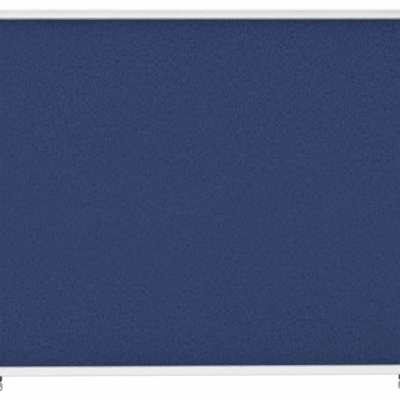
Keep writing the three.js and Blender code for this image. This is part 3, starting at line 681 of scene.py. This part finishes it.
def caseOutline():
    p = values(caseProfile)
    return outline(profilePlane, (0, 0), [
        (p.wall, 0), (p.wall, p.webBack), (p.webReach, p.webBack), (p.webReach, p.webFront),
        (p.wall, p.webFront), (p.wall, p.chamberBack), (p.face, p.chamberBack), (p.face, p.front),
        tuple(reliefAt(p.relief, p.front)), (hingeCentre, reliefSide(p.relief, 0, -1), p.reliefSteps),
    ], p.ease)


def caseChamber():
    p = values(caseProfile)
    inside, outside, lip = p.chamberBack + p.innerWall, p.front - p.frontWall, p.face - p.frontWall
    radius = p.relief + p.frontWall
    return outline(profilePlane, (p.wall, inside), [
        (lip, inside), (lip, outside), tuple(reliefAt(radius, outside)),
        (hingeCentre, reliefSide(radius, p.wall, -1), p.reliefSteps),
    ])


# The crowned face from its inner end over the crest to the outer side, or the same a wall further in.
def crownMoves(inset, innerEnd):
    p = values(doorProfile)
    crown, edge = p.crownRadius - inset, p.edgeRadius - inset
    centre = Vector((p.crest, p.front - p.crownRadius))
    reach = math.sqrt((p.crownRadius - p.edgeRadius) ** 2 - (p.crest - p.edgeRadius) ** 2)
    edgeCentre = Vector((p.edgeRadius, centre.y + reach))
    start = Vector((innerEnd, centre.y + math.sqrt(crown ** 2 - (innerEnd - centre.x) ** 2)))
    meet = edgeCentre + (edgeCentre - centre).normalized() * edge
    return start, [
        (centre, (centre.x, centre.y + crown), p.crownSteps // 2), (centre, meet, p.crownSteps),
        (edgeCentre, (edgeCentre.x - edge, edgeCentre.y), p.edgeSteps),
    ]


def doorOutline():
    p = values(doorProfile)
    lipStart = p.face - p.lipRadius
    start, crown = crownMoves(0, lipStart)
    lipCentre = Vector((lipStart, start.y - p.lipRadius))
    return outline(profilePlane, (p.face, p.back), [
        (p.face, p.grooveBack), (p.grooveFloor, p.grooveBack), (p.grooveFloor, p.grooveFront),
        (p.face, p.grooveFront), (p.face, lipCentre.y), (lipCentre, start, p.lipSteps), *crown,
        tuple(reliefSide(p.relief, 0, 1)), (hingeCentre, reliefAt(p.relief, p.back), p.reliefSteps),
    ], p.ease)


def doorChambers():
    p = values(doorProfile)
    lip, radius, behind = p.face - p.wall, p.relief + p.wall, p.back + p.wall
    floor, roof = p.grooveFloor - p.wall, p.grooveFront + p.wall
    start, crown = crownMoves(p.wall, lip)
    main = outline(profilePlane, (floor, behind), [
        (floor, roof), (lip, roof), tuple(start), *crown, tuple(reliefSide(radius, p.wall, 1)),
        (hingeCentre, reliefAt(radius, behind), p.reliefSteps),
    ])
    land, groove = p.back + p.landWall, p.grooveBack - p.wall
    return addTo(main, outline(profilePlane, (p.grooveFloor, land), [
        (lip, land), (lip, groove), (p.grooveFloor, groove),
    ]))


# Locks and hooks, with angles in degrees from the wall's direction towards the right

lockAxes = {hand: Vector(joints["lock_turn_" + hand]["pos_m"]) for hand in hands}
lock = {
    "holeRadius": 0.0108, "holeTop": 0.0056, "overrun": 0.002, "hookOuter": 0.0195, "hookInner": 0.01684,
    "hookBottom": 0.0094, "hookTop": 0.0114, "hookGap": 0.0005, "hookEase": 0.0002, "armStart": -115.06,
    "armSpan": 14.0, "tip": -67.0, "turn": 90.0, "hub": 0.0055, "overlap": 0.001,
}


def hookPoint(radius, degrees):
    return (radius * math.sin(math.radians(degrees)), radius * math.cos(math.radians(degrees)))


# A cutter for the slot that the hook sweeps, through a wall between two distances from the lock's axis.
def hookSlot(near, far):
    k = values(lock)
    left = -math.sqrt(k.hookOuter ** 2 - near ** 2) - k.hookGap
    right = far * math.tan(math.radians(k.armStart + k.armSpan + k.turn)) + 2 * k.hookGap
    return block((left, near - k.hookGap, k.hookBottom - k.hookGap),
                 (right, far + k.hookGap, k.hookTop + k.hookGap))


# Rails and stiles, drawn along X and then turned to their side

def makeBar(node, profile, chambers, cutters, place):
    low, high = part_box(node)
    length = max(high.x - low.x, high.z - low.z)
    bar = solidFrom(shifted(addTo(profile, chambers), x=-length / 2), (length, 0, 0))
    bar = keepRun(cut(bar, *cutters))
    bar.transform(place)
    finish(bar, node, "anodised_aluminium")


def makeSides():
    d, c, k = values(doorProfile), values(caseProfile), values(lock)
    for side in sides:
        caseCutters, doorCutters = [], []
        for axis in lockAxes.values() if side["name"] == "rail_bottom" else ():
            wallFront, flange = -axis.y - d.back - d.wall, -axis.y - c.front
            hole = rod(k.holeRadius, -k.overrun, k.holeTop, 64)
            doorCutters += [shifted(hole, axis.x, axis.y),
                            shifted(hookSlot(wallFront, wallFront + d.wall), axis.x, axis.y)]
            caseCutters.append(shifted(hookSlot(flange, flange + c.frontWall), axis.x, axis.y))
        place = placeAt(side["at"], side["turn"], "Y")
        makeBar("case_" + side["name"], caseOutline(), caseChamber(), caseCutters, place)
        makeBar("door_" + side["name"], doorOutline(), doorChambers(), doorCutters, place)


makeSides()
print("rails and stiles made")

# Corners: the profile turned a quarter about the frame's inner corner, with a tongue each way

cornerShape = {"steps": 24, "tongueEase": 0.0006, "tongueRoot": 0.001}
tongues = {
    "case": {"across": (0.00781, 0.0217), "depth": (0.0146, 0.0188), "length": 0.028},
    "door": {"across": (0.004, 0.0131), "depth": (0.0280, 0.04074), "length": 0.03},
}


def makeCorner(profile, face, tongue):
    c = values(cornerShape)
    bm = shifted(profile, x=face)
    bmesh.ops.spin(bm, geom=bm.verts[:] + bm.edges[:], cent=(face, 0, face), axis=(0, 1, 0),
                   angle=math.pi / 2, steps=c.steps)
    bmesh.ops.remove_doubles(bm, verts=bm.verts, dist=tiny)
    bmesh.ops.dissolve_degenerate(bm, edges=bm.edges, dist=tiny)
    ends = [e for e in bm.edges if e.is_boundary]
    for axis in (0, 2):
        loops = [e for e in ends if all(abs(v.co[axis] - face) < tiny for v in e.verts)]
        bmesh.ops.triangle_fill(bm, edges=loops, use_beauty=True)
    tidyNormals(bm)
    (low, high), (back, front) = tongue["across"], tongue["depth"]
    root, end = face - c.tongueRoot, face + tongue["length"]
    return joined(bm, block((root, -front, low), (end, -back, high), c.tongueEase),
                  block((low, -front, root), (high, -back, end), c.tongueEase))


def makeCorners():
    for corner in corners:
        for kind, profile, face in (("case", caseOutline(), caseProfile["face"]),
                                    ("door", doorOutline(), doorProfile["face"])):
            bm = makeCorner(profile, face, tongues[kind])
            bm.transform(placeAt(corner["at"], corner["turn"], "Y"))
            finish(bm, f"{kind}_corner_{corner['name']}", "corner_moulding")


makeCorners()
print("corners made")

# Felt on its board, and the caps over the wall fixings

felt = {"edgeEase": 0.0006, "holeRadius": 0.009, "cornerRadius": 0.0214}
capShape = {"radius": 0.011, "head": 0.0016, "crown": 0.0006, "plug": 0.0087, "plugLength": 0.007,
            "wall": 0.0015, "ease": 0.00012}


def makeFeltSheet():
    f = values(felt)
    low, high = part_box("felt_cover")
    wide, thick, tall = high - low
    bm = shifted(flatPlate(wide, tall, thick, f.cornerRadius, 12), y=low.y)
    for corner in corners:
        at = sum(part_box("fixing_cap_" + corner["name"]), Vector()) / 2
        hole = rod(f.holeRadius, -thick * 2, thick * 2, 32)
        hole.transform(placeAt((at.x, (low.y + high.y) / 2, at.z), 90, "X"))
        bm = cut(bm, hole)
    chamfer(bm, f.edgeEase)
    cloth = bm.loops.layers.uv.new("cloth")
    for face in bm.faces:
        for loop in face.loops:
            loop[cloth].uv = (loop.vert.co.x, loop.vert.co.z)
    piece = finish(bm, "felt_cover", "blue_felt", name="feltSheet")


def makeCaps():
    c = values(capShape)
    inner, edge = c.plug - c.wall, c.head - c.crown
    for corner in corners:
        node = "fixing_cap_" + corner["name"]
        low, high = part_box(node)
        bm = turned((0, 0), [
            (inner, 0), (inner, -c.plugLength), (c.plug, -c.plugLength), (c.plug, 0), (c.radius, 0),
            (c.radius, edge / 2), (c.radius - edge / 2, edge), (0, c.head),
        ], 48, c.ease)
        bm.transform(placeAt(((low.x + high.x) / 2, low.y + c.head, (low.z + high.z) / 2), 90, "X"))
        finish(bm, node, "corner_moulding")


makeFeltSheet()
makeCaps()
for node, slot in (("back_sheet", "galvanised_sheet"), ("board_core", "soft_fibreboard"),
                   ("glass_gasket", "grey_gasket"), ("lock_carrier_left", "corner_moulding"),
                   ("lock_carrier_right", "corner_moulding")):
    nodes[node].data.materials.clear()
    nodes[node].data.materials.append(looks[slot])
print("board made")

# Glass and seal

pane = {"cornerRadius": 0.0081, "ease": 0.0004}
sealShape = {"inner": 0.021, "outer": 0.0155, "back": 0.0207, "front": 0.0223, "lip": 0.0008}


def makeGlassPane():
    low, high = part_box("glass_pane")
    wide, thick, tall = high - low
    bm = flatPlate(wide, tall, thick, pane["cornerRadius"], 8, pane["ease"])
    finish(shifted(bm, y=low.y), "glass_pane", "clear_glass")


# A profile swept once round the frame, with a quarter turn at each corner.
def sweptRound(bm, face, steps):
    across, up = width / 2 - face, topHeight - face
    shifted(bm, x=-across, z=-topHeight)
    geom = bm.verts[:] + bm.edges[:]
    for run, centre in (((2 * across, 0, 0), (across, 0, -up)), ((0, 0, 2 * up), (across, 0, up)),
                        ((-2 * across, 0, 0), (-across, 0, up)), ((0, 0, -2 * up), (-across, 0, -up))):
        grown = bmesh.ops.extrude_edge_only(bm, edges=only(geom, BMEdge))["geom"]
        geom = [g for g in grown if not isinstance(g, BMFace)]
        bmesh.ops.translate(bm, verts=only(geom, BMVert), vec=run)
        geom = bmesh.ops.spin(bm, geom=geom, cent=centre, axis=(0, 1, 0), angle=-math.pi / 2,
                              steps=steps)["geom_last"]
    return tidyNormals(bm)


# A flat foot with rounded edges and a half round bead that the door presses on.
def makeSeal():
    s = values(sealShape)
    middle, foot, edge = (s.inner + s.outer) / 2, s.back + s.lip, s.lip / 2
    bm = outline(profilePlane, (s.outer, s.back), [
        (s.inner, s.back), (s.inner, s.back + edge),
        ((s.inner - edge, s.back + edge), (s.inner - edge, foot), 3),
        (middle + s.lip, foot), ((middle, foot), (middle, s.front), 6),
        ((middle, foot), (middle - s.lip, foot), 6), (s.outer + edge, foot),
        ((s.outer + edge, s.back + edge), (s.outer, s.back + edge), 3),
    ])
    finish(sweptRound(bm, caseProfile["face"], 12), "case_seal", "black_seal")


makeGlassPane()
makeSeal()
print("glass and seal made")

# Screws with a countersunk head and a six-lobed recess, seated in a face that looks along -Y

screw = {"radius": 0.0021, "depth": 0.0012, "taper": 0.6, "recess": 0.0011, "recessDepth": 0.0009,
         "lobe": 0.72, "proud": 0.00008}


def addScrew(bm, at, scale=1.0, facing=-1):
    s = values(screw)
    one = bmesh.new()
    bmesh.ops.create_circle(one, cap_ends=True, segments=24, radius=s.radius)
    bmesh.ops.inset_region(one, faces=one.faces[:], thickness=s.radius - s.recess, depth=0)
    middle = min(one.faces, key=lambda f: f.calc_center_median().length + (len(f.verts) < 5))
    lobes = [v for i, v in enumerate(middle.verts) if i % 4 in (0, 1)]
    bmesh.ops.scale(one, vec=(s.lobe, s.lobe, 1), verts=lobes)
    sunk = bmesh.ops.extrude_discrete_faces(one, faces=[middle])["faces"]
    bmesh.ops.translate(one, verts=sunk[0].verts[:], vec=(0, 0, -s.recessDepth))
    borders = [e for e in one.edges if e.is_boundary]
    recessTop = [e for e in borders if abs(e.verts[0].co.z) < tiny
                 and e.verts[0].co.length < (s.radius + s.recess) / 2]
    recessBottom = [e for e in borders if e.verts[0].co.z < -tiny]
    bmesh.ops.bridge_loops(one, edges=recessTop + recessBottom)
    rim = [e for e in one.edges if e.is_boundary]
    skirt = only(bmesh.ops.extrude_edge_only(one, edges=rim)["geom"], BMVert)
    bmesh.ops.translate(one, verts=skirt, vec=(0, 0, -s.depth))
    bmesh.ops.scale(one, vec=(s.taper, s.taper, 1), verts=skirt)
    bmesh.ops.holes_fill(one, edges=[e for e in one.edges if e.is_boundary])
    tidyNormals(one)
    one.transform(Matrix.Translation(at) @ Matrix.Scale(scale, 4) @ placeAt((0, 0, 0), -90 * facing, "X"))
    return addTo(bm, one)


# Continuous hinge

hinge = {
    "knuckle": 0.003, "bore": 0.0017, "pin": 0.0015, "pitch": 0.06, "gap": 0.0004,
    "leaf": 0.0007, "leafWidth": 0.008, "leafTop": -0.0035, "leafMiddle": 0.00055,
    "webInLeaf": 0.0006, "webOffBore": 0.0005, "leafEase": 0.0001, "knuckleEase": 0.00015, "pinEase": 0.0002,
}


def makeHingeLeaf(node, front, first):
    h = values(hinge)
    low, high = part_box("hinge_pin")
    length = high.x - low.x
    count = 2 * round(length / (2 * h.pitch)) + 1
    step = length / count
    back, face = h.leafMiddle * front - h.leaf / 2, h.leafMiddle * front + h.leaf / 2
    outer = hingeLine.y + (back if front > 0 else face)
    bm = block((-length / 2, back, h.leafTop - h.leafWidth), (length / 2, face, h.leafTop), h.leafEase)
    screws = bmesh.new()
    for i in range(first, count, 2):
        start = -length / 2 + i * step + h.gap / 2
        tube = bmesh.new()
        for radius in (h.bore, h.knuckle):
            ends = ((0, radius), (-radius, 0), (0, -radius), (radius, 0))
            draw(tube, profilePlane, (radius, 0), [((0, 0), end, 6) for end in ends], closed=False)
        bmesh.ops.remove_doubles(tube, verts=tube.verts, dist=tiny)
        knuckle = shifted(solidFrom(tube, (step - h.gap, 0, 0)), x=start)
        web = block((start, back, h.leafTop - h.webInLeaf),
                    (start + step - h.gap, face, -h.bore - h.webOffBore))
        bm = joined(bm, joined(knuckle, web))
        at = (-length / 2 + (i + 0.5) * step, outer - front * screw["proud"],
              hingeLine.z + h.leafTop - h.leafWidth / 2)
        addScrew(screws, at, facing=-front)
    keepRun(chamfer(bm, h.knuckleEase, over=50))
    bm.transform(Matrix.Translation((0, hingeLine.y, hingeLine.z)))
    finish(bm, node, "anodised_aluminium")
    finish(screws, node, "bright_steel", name=camel(node) + "Screws", stands=False)


def makeHingePin():
    low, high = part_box("hinge_pin")
    bm = toX(rod(hinge["pin"], low.x, high.x, 20, hinge["pinEase"]))
    finish(shifted(bm, y=hingeLine.y, z=hingeLine.z), "hinge_pin", "bright_steel")


makeHingeLeaf("hinge_leaf_case", 1, 0)
makeHingeLeaf("hinge_leaf_door", -1, 1)
makeHingePin()
print("hinge made")

# Gas struts

strut = {
    "eyeRadius": 0.004, "eyeThick": 0.005, "studRadius": 0.0022, "slide": 0.0003,
    "rodRadius": 0.0025, "rodLength": 0.2, "nutRadius": 0.004, "nutLength": 0.005, "nutInEye": 0.0001,
    "cylinderRadius": 0.006, "cylinderLength": 0.17, "boreDepth": 0.15, "neck": 0.016, "neckRadius": 0.003,
    "neckInside": 0.001, "length": 0.300209, "upperEye": 0.0045, "endRound": 0.001,
    "grooveRadius": 0.0054, "grooveFrom": 0.012, "grooveSides": (0.0008, 0.0022, 0.003),
    "ease": 0.0003, "nutEase": 0.0002, "eyeEase": 0.0004,
}
bracket = {
    "plate": 0.002, "corner": 0.003, "ease": 0.0003, "studInPlate": 0.001, "headRadius": 0.0032,
    "headLength": 0.0015, "headEase": 0.0004, "screwScale": 0.85, "screwRise": 0.0095,
}


def strutPlace(hand):
    pivot = Vector(joints["strut_swing_" + hand]["pos_m"])
    along = Vector(joints["strut_slide_" + hand]["axis"])
    return Matrix.Translation(pivot) @ Vector((0, 0, 1)).rotation_difference(along).to_matrix().to_4x4()


def makeStrutRod(hand):
    s = values(strut)
    half, hole = s.eyeThick / 2, s.studRadius + s.slide
    eye = toX(turned((hole, -half), [
        (s.eyeRadius, -half), (s.eyeRadius, half), (hole, half), (hole, -half)], 40, s.ease))
    shaft = rod(s.rodRadius, s.studRadius + 2 * s.slide, s.rodLength, 40, s.ease)
    nut = bmesh.new()
    bmesh.ops.create_cone(nut, cap_ends=True, segments=6, radius1=s.nutRadius, radius2=s.nutRadius,
                          depth=s.nutLength)
    chamfer(shifted(nut, z=s.eyeRadius - s.nutInEye + s.nutLength / 2), s.nutEase)
    bm = joined(eye, shaft, nut)
    bm.transform(strutPlace(hand))
    finish(bm, "strut_rod_" + hand, "bright_steel")


def makeStrutCylinder(hand, right):
    s = values(strut)
    radius, half, bore = s.cylinderRadius, s.eyeThick / 2, s.rodRadius + 2 * s.slide
    top = s.length - s.neck
    bottom = top - s.cylinderLength
    start = bottom + s.grooveFrom
    grooveIn, grooveOut, grooveEnd = (start + side for side in s.grooveSides)
    tube = turned((bore, bottom), [
        (radius - s.endRound, bottom),
        ((radius - s.endRound, bottom + s.endRound), (radius, bottom + s.endRound), 4),
        (radius, start), (s.grooveRadius, grooveIn), (s.grooveRadius, grooveOut), (radius, grooveEnd),
        (radius, top - radius / 2), ((radius / 2, top - radius / 2), (radius / 2, top), 8), (0, top),
        (0, bottom + s.boreDepth), (bore, bottom + s.boreDepth), (bore, bottom),
    ], 48)
    neck = rod(s.neckRadius, top - s.neckInside, s.length, 32)
    eye = shifted(toX(rod(s.upperEye, -half, half, 40, s.eyeEase)), z=s.length)
    low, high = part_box("strut_bracket_door_" + hand)
    pivotX = joints["strut_swing_" + hand]["pos_m"][0]
    end = (low.x if right > 0 else high.x) - right * s.slide - pivotX
    stud = shifted(toX(rod(s.studRadius, 0, end, 32, s.ease)), z=s.length)
    bm = joined(tube, neck, eye, stud)
    bm.transform(strutPlace(hand))
    finish(bm, "strut_cylinder_" + hand, "strut_black")


def makeBracket(kind, hand, right):
    s, b = values(strut), values(bracket)
    node = f"strut_bracket_{kind}_{hand}"
    low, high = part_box(node)
    middleY, middleZ = (low.y + high.y) / 2, (low.z + high.z) / 2
    outer, studEnd = (high.x, low.x) if right > 0 else (low.x, high.x)
    inner = outer - right * b.plate
    bm = flatPlate(high.y - low.y, high.z - low.z, b.plate, b.corner, 6, b.ease)
    bm.transform(placeAt((min(inner, outer), middleY, middleZ), 90, "Z") @ Matrix.Scale(-1, 4, (0, 1, 0)))
    bmesh.ops.recalc_face_normals(bm, faces=bm.faces)
    if kind == "case":
        pivot = Vector(joints["strut_swing_" + hand]["pos_m"])
        headEnd = studEnd + right * b.headLength
        stud = toX(rod(s.studRadius, headEnd, inner + right * b.studInPlate, 32))
        head = toX(rod(b.headRadius, studEnd, headEnd, 32, b.headEase))
        bm = joined(bm, shifted(joined(stud, head), y=pivot.y, z=pivot.z))
    for up in (-1, 1):
        one = addScrew(bmesh.new(), (0, 0, 0), b.screwScale)
        at = (inner - right * screw["proud"], middleY, middleZ + up * b.screwRise)
        one.transform(placeAt(at, -90 * right, "Z"))
        addTo(bm, one)
    finish(bm, node, "bright_steel")


for hand, right in hands.items():
    makeStrutRod(hand)
    makeStrutCylinder(hand, right)
    makeBracket("case", hand, right)
    makeBracket("door", hand, right)
print("struts made")

# Locks and keys, made about the lock's axis and then shifted to it

barrel = {
    "radius": 0.0095, "drop": 0.013, "round": 0.0028, "undercut": 0.0003, "undercutDrop": 0.0006,
    "collar": 0.0104, "collarTop": 0.0052, "collarRound": 0.0004,
    "shank": 0.0064, "shankTop": 0.009, "bore": 0.005, "plug": 0.0047, "plugFace": -0.0133,
    "plugEase": 0.00025, "neckSide": 0.005, "keywayWide": 0.0078, "keywayThick": 0.0026,
    "keywayTop": 0.0036, "fit": 0.0001,
}
camScrew = {
    "bottom": 0.0044, "radius": 0.0015, "head": 0.0116, "headRadius": 0.0042, "headHeight": 0.0014,
    "boreEnd": 0.0003, "crossLength": 0.0044, "crossWidth": 0.0007, "crossFloor": 0.0005,
}
key = {
    "thick": 0.002, "ease": 0.00022, "bladeWidth": 0.0072, "bladeLength": 0.0163, "cutDepth": 0.0016,
    "cuts": 4, "neckTop": -0.0136, "neckWidth": 0.011, "neckLength": 0.0037, "bowWidth": 0.0204,
    "bowHeight": 0.0218, "bowTop": 0.004, "bowBottom": 0.008, "slotWidth": 0.0126, "slotHeight": 0.005,
    "slotRadius": 0.00249, "slotRise": 0.0084, "grooveWidth": 0.0016, "grooveDepth": 0.0005,
    "grooveAside": 0.0006, "grooveFrom": 0.001,
}
strike = {"corner": 0.0012, "ease": 0.00015, "screwScale": 0.8, "screwsIn": (0.0028, 0.0035)}


def makeLockBody():
    b = values(barrel)
    roundEnd, edge = b.round - b.drop, b.collar - b.collarRound
    return turned((b.bore, -b.drop), [
        (b.radius - b.round, -b.drop), ((b.radius - b.round, roundEnd), (b.radius, roundEnd), 10),
        (b.radius, -b.undercutDrop), (b.radius - b.undercut, 0), (edge, 0),
        ((edge, b.collarRound), (b.collar, b.collarRound), 4), (b.collar, b.collarTop),
        (b.shank, b.collarTop), (b.shank, b.shankTop), (b.bore, b.shankTop), (b.bore, -b.drop),
    ], 72)


def makePlug():
    b, k, c = values(barrel), values(lock), values(camScrew)
    half, wide, thick = b.neckSide / 2, b.keywayWide / 2, b.keywayThick / 2
    body = rod(b.plug, b.plugFace, b.shankTop, 48, b.plugEase)
    neck = block((-half, -half, b.shankTop - k.overlap), (half, half, k.hookTop + b.fit))
    bore = rod(c.radius + b.fit, c.bottom - c.boreEnd, k.hookTop + k.overrun, 24)
    keyway = block((-wide, -thick, b.plugFace - k.overrun), (wide, thick, b.keywayTop))
    return cut(joined(body, neck), bore, keyway)


def makeHook():
    k = values(lock)
    armEnd, root, thick = k.armStart + k.armSpan, k.hub - k.overlap, k.hookTop - k.hookBottom
    arm = outline(planPlane, hookPoint(root, armEnd), [
        hookPoint(root, k.armStart), hookPoint(k.hookOuter, k.armStart),
        ((0, 0), hookPoint(k.hookOuter, k.tip), 12), hookPoint(k.hookInner, k.tip),
        ((0, 0), hookPoint(k.hookInner, armEnd), 10),
    ])
    half = barrel["neckSide"] / 2 + barrel["fit"]
    bm = joined(solidFrom(arm, (0, 0, thick)), rod(k.hub, 0, thick, 48))
    bm = cut(bm, block((-half, -half, -k.overlap), (half, half, thick + k.overlap)))
    return shifted(chamfer(bm, k.hookEase, over=50), z=k.hookBottom)


def makeCamScrew():
    c = values(camScrew)
    edge, top = c.headHeight / 2, c.head + c.headHeight
    bm = turned((0, c.bottom), [
        (c.radius, c.bottom), (c.radius, c.head), (c.headRadius, c.head), (c.headRadius, c.head + edge),
        ((c.headRadius - edge, c.head + edge), (c.headRadius - edge, top), 5), (0, top),
    ], 40)
    for wide, deep in ((c.crossLength, c.crossWidth), (c.crossWidth, c.crossLength)):
        bm = cut(bm, block((-wide / 2, -deep / 2, c.head + c.crossFloor),
                           (wide / 2, deep / 2, c.head + lock["overrun"])))
    return bm


def makeKey():
    k = values(key)
    blade, neck, bow, half = k.bladeWidth / 2, k.neckWidth / 2, k.bowWidth / 2, k.thick / 2
    top, bowTop = k.neckTop + k.bladeLength, k.neckTop - k.neckLength
    bowEnd = bowTop - k.bowHeight
    step = k.bladeLength / (k.cuts + 1)
    cuts = []
    for i in range(k.cuts, 0, -1):
        middle = k.neckTop + i * step
        cuts += [(-blade, middle + step / 3), (k.cutDepth - blade, middle), (-blade, middle - step / 3)]
    r, q = k.bowBottom, k.bowTop
    bm = outline(frontPlane, (bow - r, bowEnd), [
        ((bow - r, bowEnd + r), (bow, bowEnd + r), 12), (bow, bowTop - q),
        ((bow - q, bowTop - q), (bow - q, bowTop), 8), (neck, bowTop), (neck, k.neckTop), (blade, k.neckTop),
        (blade, top - k.cutDepth), (0, top), (-blade, top - k.cutDepth), *cuts, (-blade, k.neckTop),
        (-neck, k.neckTop), (-neck, bowTop), (q - bow, bowTop),
        ((q - bow, bowTop - q), (-bow, bowTop - q), 8), (-bow, bowEnd + r),
        ((r - bow, bowEnd + r), (r - bow, bowEnd), 12),
    ])
    bm = shifted(solidFrom(bm, (0, k.thick, 0)), y=-half)
    slot = flatPlate(k.slotWidth, k.slotHeight, 3 * k.thick, k.slotRadius, 10)
    bm = cut(bm, shifted(slot, y=-1.5 * k.thick, z=bowEnd + k.slotRise))
    for side in (-1, 1):
        x, y = side * k.grooveAside, side * half
        bm = cut(bm, block((x - k.grooveWidth / 2, y - k.grooveDepth, k.neckTop + k.grooveFrom),
                           (x + k.grooveWidth / 2, y + k.grooveDepth, top + k.grooveFrom)))
    return chamfer(bm, k.ease, over=40)


def makeStrike():
    low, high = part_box("strike_plate_left")
    wide, thick, tall = high - low
    axis = lockAxes["left"]
    near, middleZ = low.y - axis.y, (low.z + high.z) / 2 + topHeight
    bm = flatPlate(wide, tall, thick, strike["corner"], 4, strike["ease"])
    shifted(bm, x=(low.x + high.x) / 2 - axis.x, y=near, z=middleZ)
    bm = cut(bm, hookSlot(near, near + thick + lock["overrun"]))
    left, right = strike["screwsIn"]
    for x in (low.x - axis.x + left, high.x - axis.x - right):
        addScrew(bm, (x, near - screw["proud"], middleZ), strike["screwScale"])
    return bm


def makeLocks():
    makers = {
        "lock_body": (makeLockBody, "lock_nickel"), "lock_plug": (makePlug, "lock_nickel"),
        "lock_hook": (makeHook, "bright_steel"), "cam_screw": (makeCamScrew, "bright_steel"),
        "key": (makeKey, "key_nickel"), "strike_plate": (makeStrike, "bright_steel"),
    }
    for hand, axis in lockAxes.items():
        for name, (make, slot) in makers.items():
            finish(shifted(make(), axis.x, axis.y, -topHeight), f"{name}_{hand}", slot)


makeLocks()
print("locks and keys made")

# Studio: pale floor, pale world, soft lights

studio = {
    "floorLevel": -1.9, "floorSize": 13.0, "floorColour": (0.93, 0.93, 0.92),
    "worldSeen": 0.99, "leftToRight": (1.04, 0.96),
    # height of the direction from -1, straight down, to 1, and how bright the world is there
    "worldLight": [(-1.0, 0.35), (-0.25, 0.7), (-0.1, 1.0), (0.0, 1.3), (0.1, 1.0), (0.3, 0.45),
                   (0.6, 0.3), (1.0, 1.5)],
}
lights = {
    "keyLight": {"at": (-0.8, -4.8, 2.85), "size": 4.5, "power": 146},
    "frontLight": {"at": (-0.4, -5.5, -0.3), "size": 4.5, "power": 50},
}
camera = {
    "at": (-0.0351, -2.7419, -0.0478), "yaw": 0.726, "pitch": 0.563, "roll": -0.176,
    "focalPixels": 1011.5, "imagePixels": 400,
}


def makeFloor():
    floor = bmesh.new()
    bmesh.ops.create_grid(floor, x_segments=1, y_segments=1, size=studio["floorSize"] / 2)
    mesh = bpy.data.meshes.new("floor")
    floor.to_mesh(mesh)
    floor.free()
    obj = bpy.data.objects.new("floor", mesh)
    obj.location.z = studio["floorLevel"]
    scene.collection.objects.link(obj)
    mesh.materials.append(newMaterial("paleFloor", studio["floorColour"], 0.9)[0])


# Plain white to the camera, and a soft room to the surfaces that mirror it.
def makeWorld():
    world = bpy.data.worlds.new("studio")
    scene.world = world
    world.use_nodes = True
    tree = world.node_tree
    way = addNode(tree, "SeparateXYZ", {0: addNode(tree, "TexCoord").outputs["Generated"]}).outputs
    height = addNode(tree, "MapRange", {"Value": way["Z"], "From Min": -1.0}).outputs[0]
    ramp = addNode(tree, "ValToRGB", {"Fac": height})
    ramp.color_ramp.interpolation = "EASE"
    stops = ramp.color_ramp.elements
    while len(stops) < len(studio["worldLight"]):
        stops.new(0.5)
    for stop, (level, bright) in zip(stops, studio["worldLight"]):
        stop.position = (level + 1) / 2
        stop.color = (bright, bright, bright, 1)
    sideways = between(tree, way["X"], *studio["leftToRight"], fromLow=-1.0, fromHigh=1.0)
    room = addMath(tree, "MULTIPLY", ramp.outputs[0], sideways)
    seen = addNode(tree, "LightPath").outputs["Is Camera Ray"]
    strength = addNode(tree, "Mix", {"Factor": seen, "A": room, "B": studio["worldSeen"]}).outputs[0]
    feed(tree, tree.nodes["Background"], {"Color": (1, 1, 1, 1), "Strength": strength})


def makeLights():
    for name, light in lights.items():
        data = bpy.data.lights.new(name, "AREA")
        data.shape = "SQUARE"
        data.size = light["size"]
        data.energy = light["power"]
        lamp = bpy.data.objects.new(name, data)
        lamp.location = light["at"]
        lamp.rotation_euler = (-Vector(light["at"])).to_track_quat("-Z", "Y").to_euler()
        lamp.visible_glossy = False
        lamp.visible_camera = False
        lamp.visible_transmission = False
        scene.collection.objects.link(lamp)


def makeCamera():
    c = values(camera)
    data = bpy.data.cameras.new("camera")
    data.sensor_width = 36
    data.lens = c.focalPixels / c.imagePixels * data.sensor_width
    obj = bpy.data.objects.new("camera", data)
    obj.location = c.at
    obj.rotation_euler = (Matrix.Rotation(math.radians(-c.yaw), 4, "Z")
                          @ Matrix.Rotation(math.radians(90 + c.pitch), 4, "X")
                          @ Matrix.Rotation(math.radians(c.roll), 4, "Z")).to_euler()
    scene.collection.objects.link(obj)
    scene.camera = obj


makeFloor()
makeWorld()
makeLights()
makeCamera()
scene.view_settings.view_transform = "Standard"
print("studio made")
